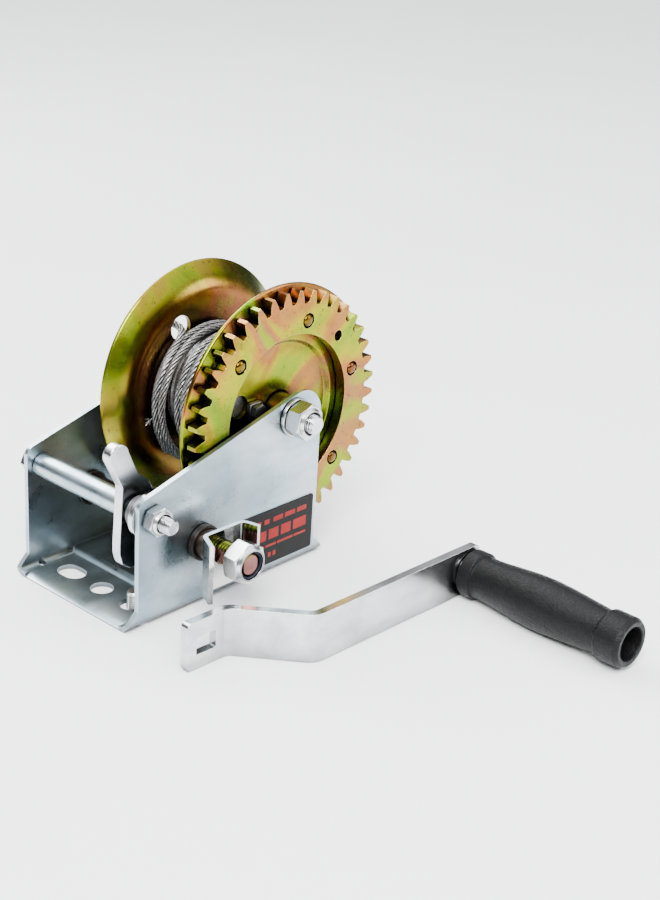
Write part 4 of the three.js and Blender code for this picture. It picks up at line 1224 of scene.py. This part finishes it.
def build_arm():
    middle = CRANK.thickness / 2
    path = [
        (0, middle), (CRANK.jog_start, middle), (CRANK.jog_end, middle - CRANK.offset),
        (CRANK.length, middle - CRANK.offset),
    ]
    plan = prism(strip(path, CRANK.bend, CRANK.thickness), 0, CRANK.width, "Z")
    elevation = prism(rounded(rectangle(0, 0, CRANK.length, CRANK.width), CRANK.corner, 8), -60, 60, "Y")
    reach, rise = CRANK.slot_width / 2, CRANK.slot_height / 2
    opening = rounded(rectangle(
        CRANK.slot_x - reach, CRANK.slot_z - rise, CRANK.slot_x + reach, CRANK.slot_z + rise,
    ), 0.8)
    slot = prism(opening, -CLEAR, CRANK.thickness + CLEAR, "Y")
    hole = prism(circle(GRIP.x, GRIP.z, GRIP.spindle + GAP), -60, -10, "Y")
    arm = combined(combined(plan, [elevation], "INTERSECT"), [slot, hole], "DIFFERENCE")
    on_crank("crank_arm", arm, "zinc_white", 0.6)


def build_grip():
    """Moulded grip with a parting line down both sides and a hollow end."""
    start, end = GRIP.start, GRIP.start - GRIP.length
    outside = [
        (0, 12), (0.7, 12.5), (7.4, 12.5), (7.8, 11.2), (12, 11.1), (20, 11.7), (30, 12.7), (38, 13.4),
        (GRIP.belly_at, GRIP.belly), (56, 13.35), (64, 12.8), (73, 12.0), (80, 11.4), (83.5, 11.4),
        (85, 12.9), (96, 12.9), (GRIP.length, 11.4),
    ]
    seat = end + GRIP.depth
    inside = GRIP.spindle + GAP
    profile = [(radius, start - along) for along, radius in outside][::-1]
    profile += [(inside, start), (inside, seat), (GRIP.hollow, seat), (GRIP.hollow, end + 0.2)]
    seam_at = math.radians(GRIP.seam_angle)

    def seam(angle, y):
        off = abs(math.remainder(angle - seam_at, math.pi))
        return GRIP.seam_height if off < 0.03 and end + 4 < y < start - 1 else 0.0

    on_crank("crank_grip", turned(profile, GRIP.x, GRIP.z, 160, 0.8, seam), "grip_plastic", 0.0, "grip")


def build_crank():
    build_arm()
    build_grip()
    front = -CRANK.offset
    back = CRANK.thickness - CRANK.offset
    seat = GRIP.start - GRIP.length + GRIP.depth
    x, z = GRIP.x, GRIP.z
    shank = turned([
        (0, seat - 5), (4.4, seat - 5), (5, seat - 4.4), (5, back + GAP), (8, back + GAP), (7.4, back + 1.8),
        (5.2, back + 2.8), (0, back + 3),
    ], x, z)
    bore = GRIP.spindle + GAP
    hexagon = chamfered_hexagon(GRIP.nut_flats, seat - GRIP.nut, seat - GAP, x, z)
    nut = combined(hexagon, [rod_mesh(bore, seat - 6, seat + CLEAR, x, z)], "DIFFERENCE", None)
    on_crank("grip_spindle", shank)
    on_crank("grip_washer", ring(bore, GRIP.washer, GRIP.start + GAP, front - GAP, x, z))
    on_crank("grip_retaining_nut", nut, bevel=0.12)


# ---- Studio ------------


def build_camera():
    """Camera at the picture's viewing angle, turned a little about its own line of sight."""
    a, e, r = (math.radians(v) for v in (CAMERA.azimuth, CAMERA.elevation, CAMERA.roll))
    back = Vector((math.sin(a) * math.cos(e), -math.cos(a) * math.cos(e), math.sin(e)))
    level = Vector((math.cos(a), math.sin(a), 0.0))
    up = back.cross(level)
    right = level * math.cos(r) + up * math.sin(r)
    up = up * math.cos(r) - level * math.sin(r)
    data = bpy.data.cameras.new("camera")
    data.sensor_width = CAMERA.sensor
    data.sensor_fit = "HORIZONTAL"
    data.lens = CAMERA.lens
    data.clip_start = 0.05
    data.clip_end = 20.0
    camera = bpy.data.objects.new("camera", data)
    turn = Matrix((right, up, back)).transposed().to_4x4()
    camera.matrix_world = Matrix.Translation((Vector(CAMERA.target) + back * CAMERA.distance) * MM) @ turn
    bpy.context.scene.collection.objects.link(camera)
    bpy.context.scene.camera = camera


def area_light(name, place, size, watts):
    data = bpy.data.lights.new(name, "AREA")
    data.shape = "RECTANGLE"
    data.size, data.size_y = size
    data.energy = watts
    light = bpy.data.objects.new(name, data)
    light.location = place
    light.rotation_euler = (Vector(STUDIO_MIDDLE) - Vector(place)).to_track_quat("-Z", "Y").to_euler()
    bpy.context.scene.collection.objects.link(light)


def build_studio():
    corners = rectangle(-STUDIO_FLOOR, -STUDIO_FLOOR, STUDIO_FLOOR, STUDIO_FLOOR)
    floor_mesh = mesh_of([(x, y, 0) for x, y in corners], [[0, 1, 2, 3]])
    floor_mesh.transform(Matrix.Scale(MM, 4))
    paint = Paint("studio_floor")
    grey = paint.ramp(paint.noise(3.0), (0.3, (0.86, 0.86, 0.86)), (0.7, (0.90, 0.90, 0.90)))
    paint.set(Base_Color=grey, Roughness=0.75)
    floor_mesh.materials.append(paint.material)
    floor_object = bpy.data.objects.new("studio_floor", floor_mesh)
    bpy.context.scene.collection.objects.link(floor_object)

    world = bpy.data.worlds.new("studio")
    world.use_nodes = True
    nodes, links = world.node_tree.nodes, world.node_tree.links
    height = nodes.new("ShaderNodeSeparateXYZ")
    links.new(nodes.new("ShaderNodeTexCoord").outputs["Generated"], height.inputs[0])
    sky = nodes.new("ShaderNodeValToRGB")
    links.new(height.outputs["Z"], sky.inputs[0])
    for stop, position, colour in zip(sky.color_ramp.elements, SKY.heights, (SKY.dark, SKY.bright)):
        stop.position = position
        stop.color = (*colour, 1.0)
    links.new(sky.outputs[0], nodes["Background"].inputs["Color"])
    nodes["Background"].inputs["Strength"].default_value = SKY.strength
    bpy.context.scene.world = world
    for name, place, size, watts in LIGHTS:
        area_light(name, place, size, watts)


# ---- Assembly ------------

build_camera()
build_studio()
build_frame()
build_pawl()
build_shaft()
build_drum()
build_crank()
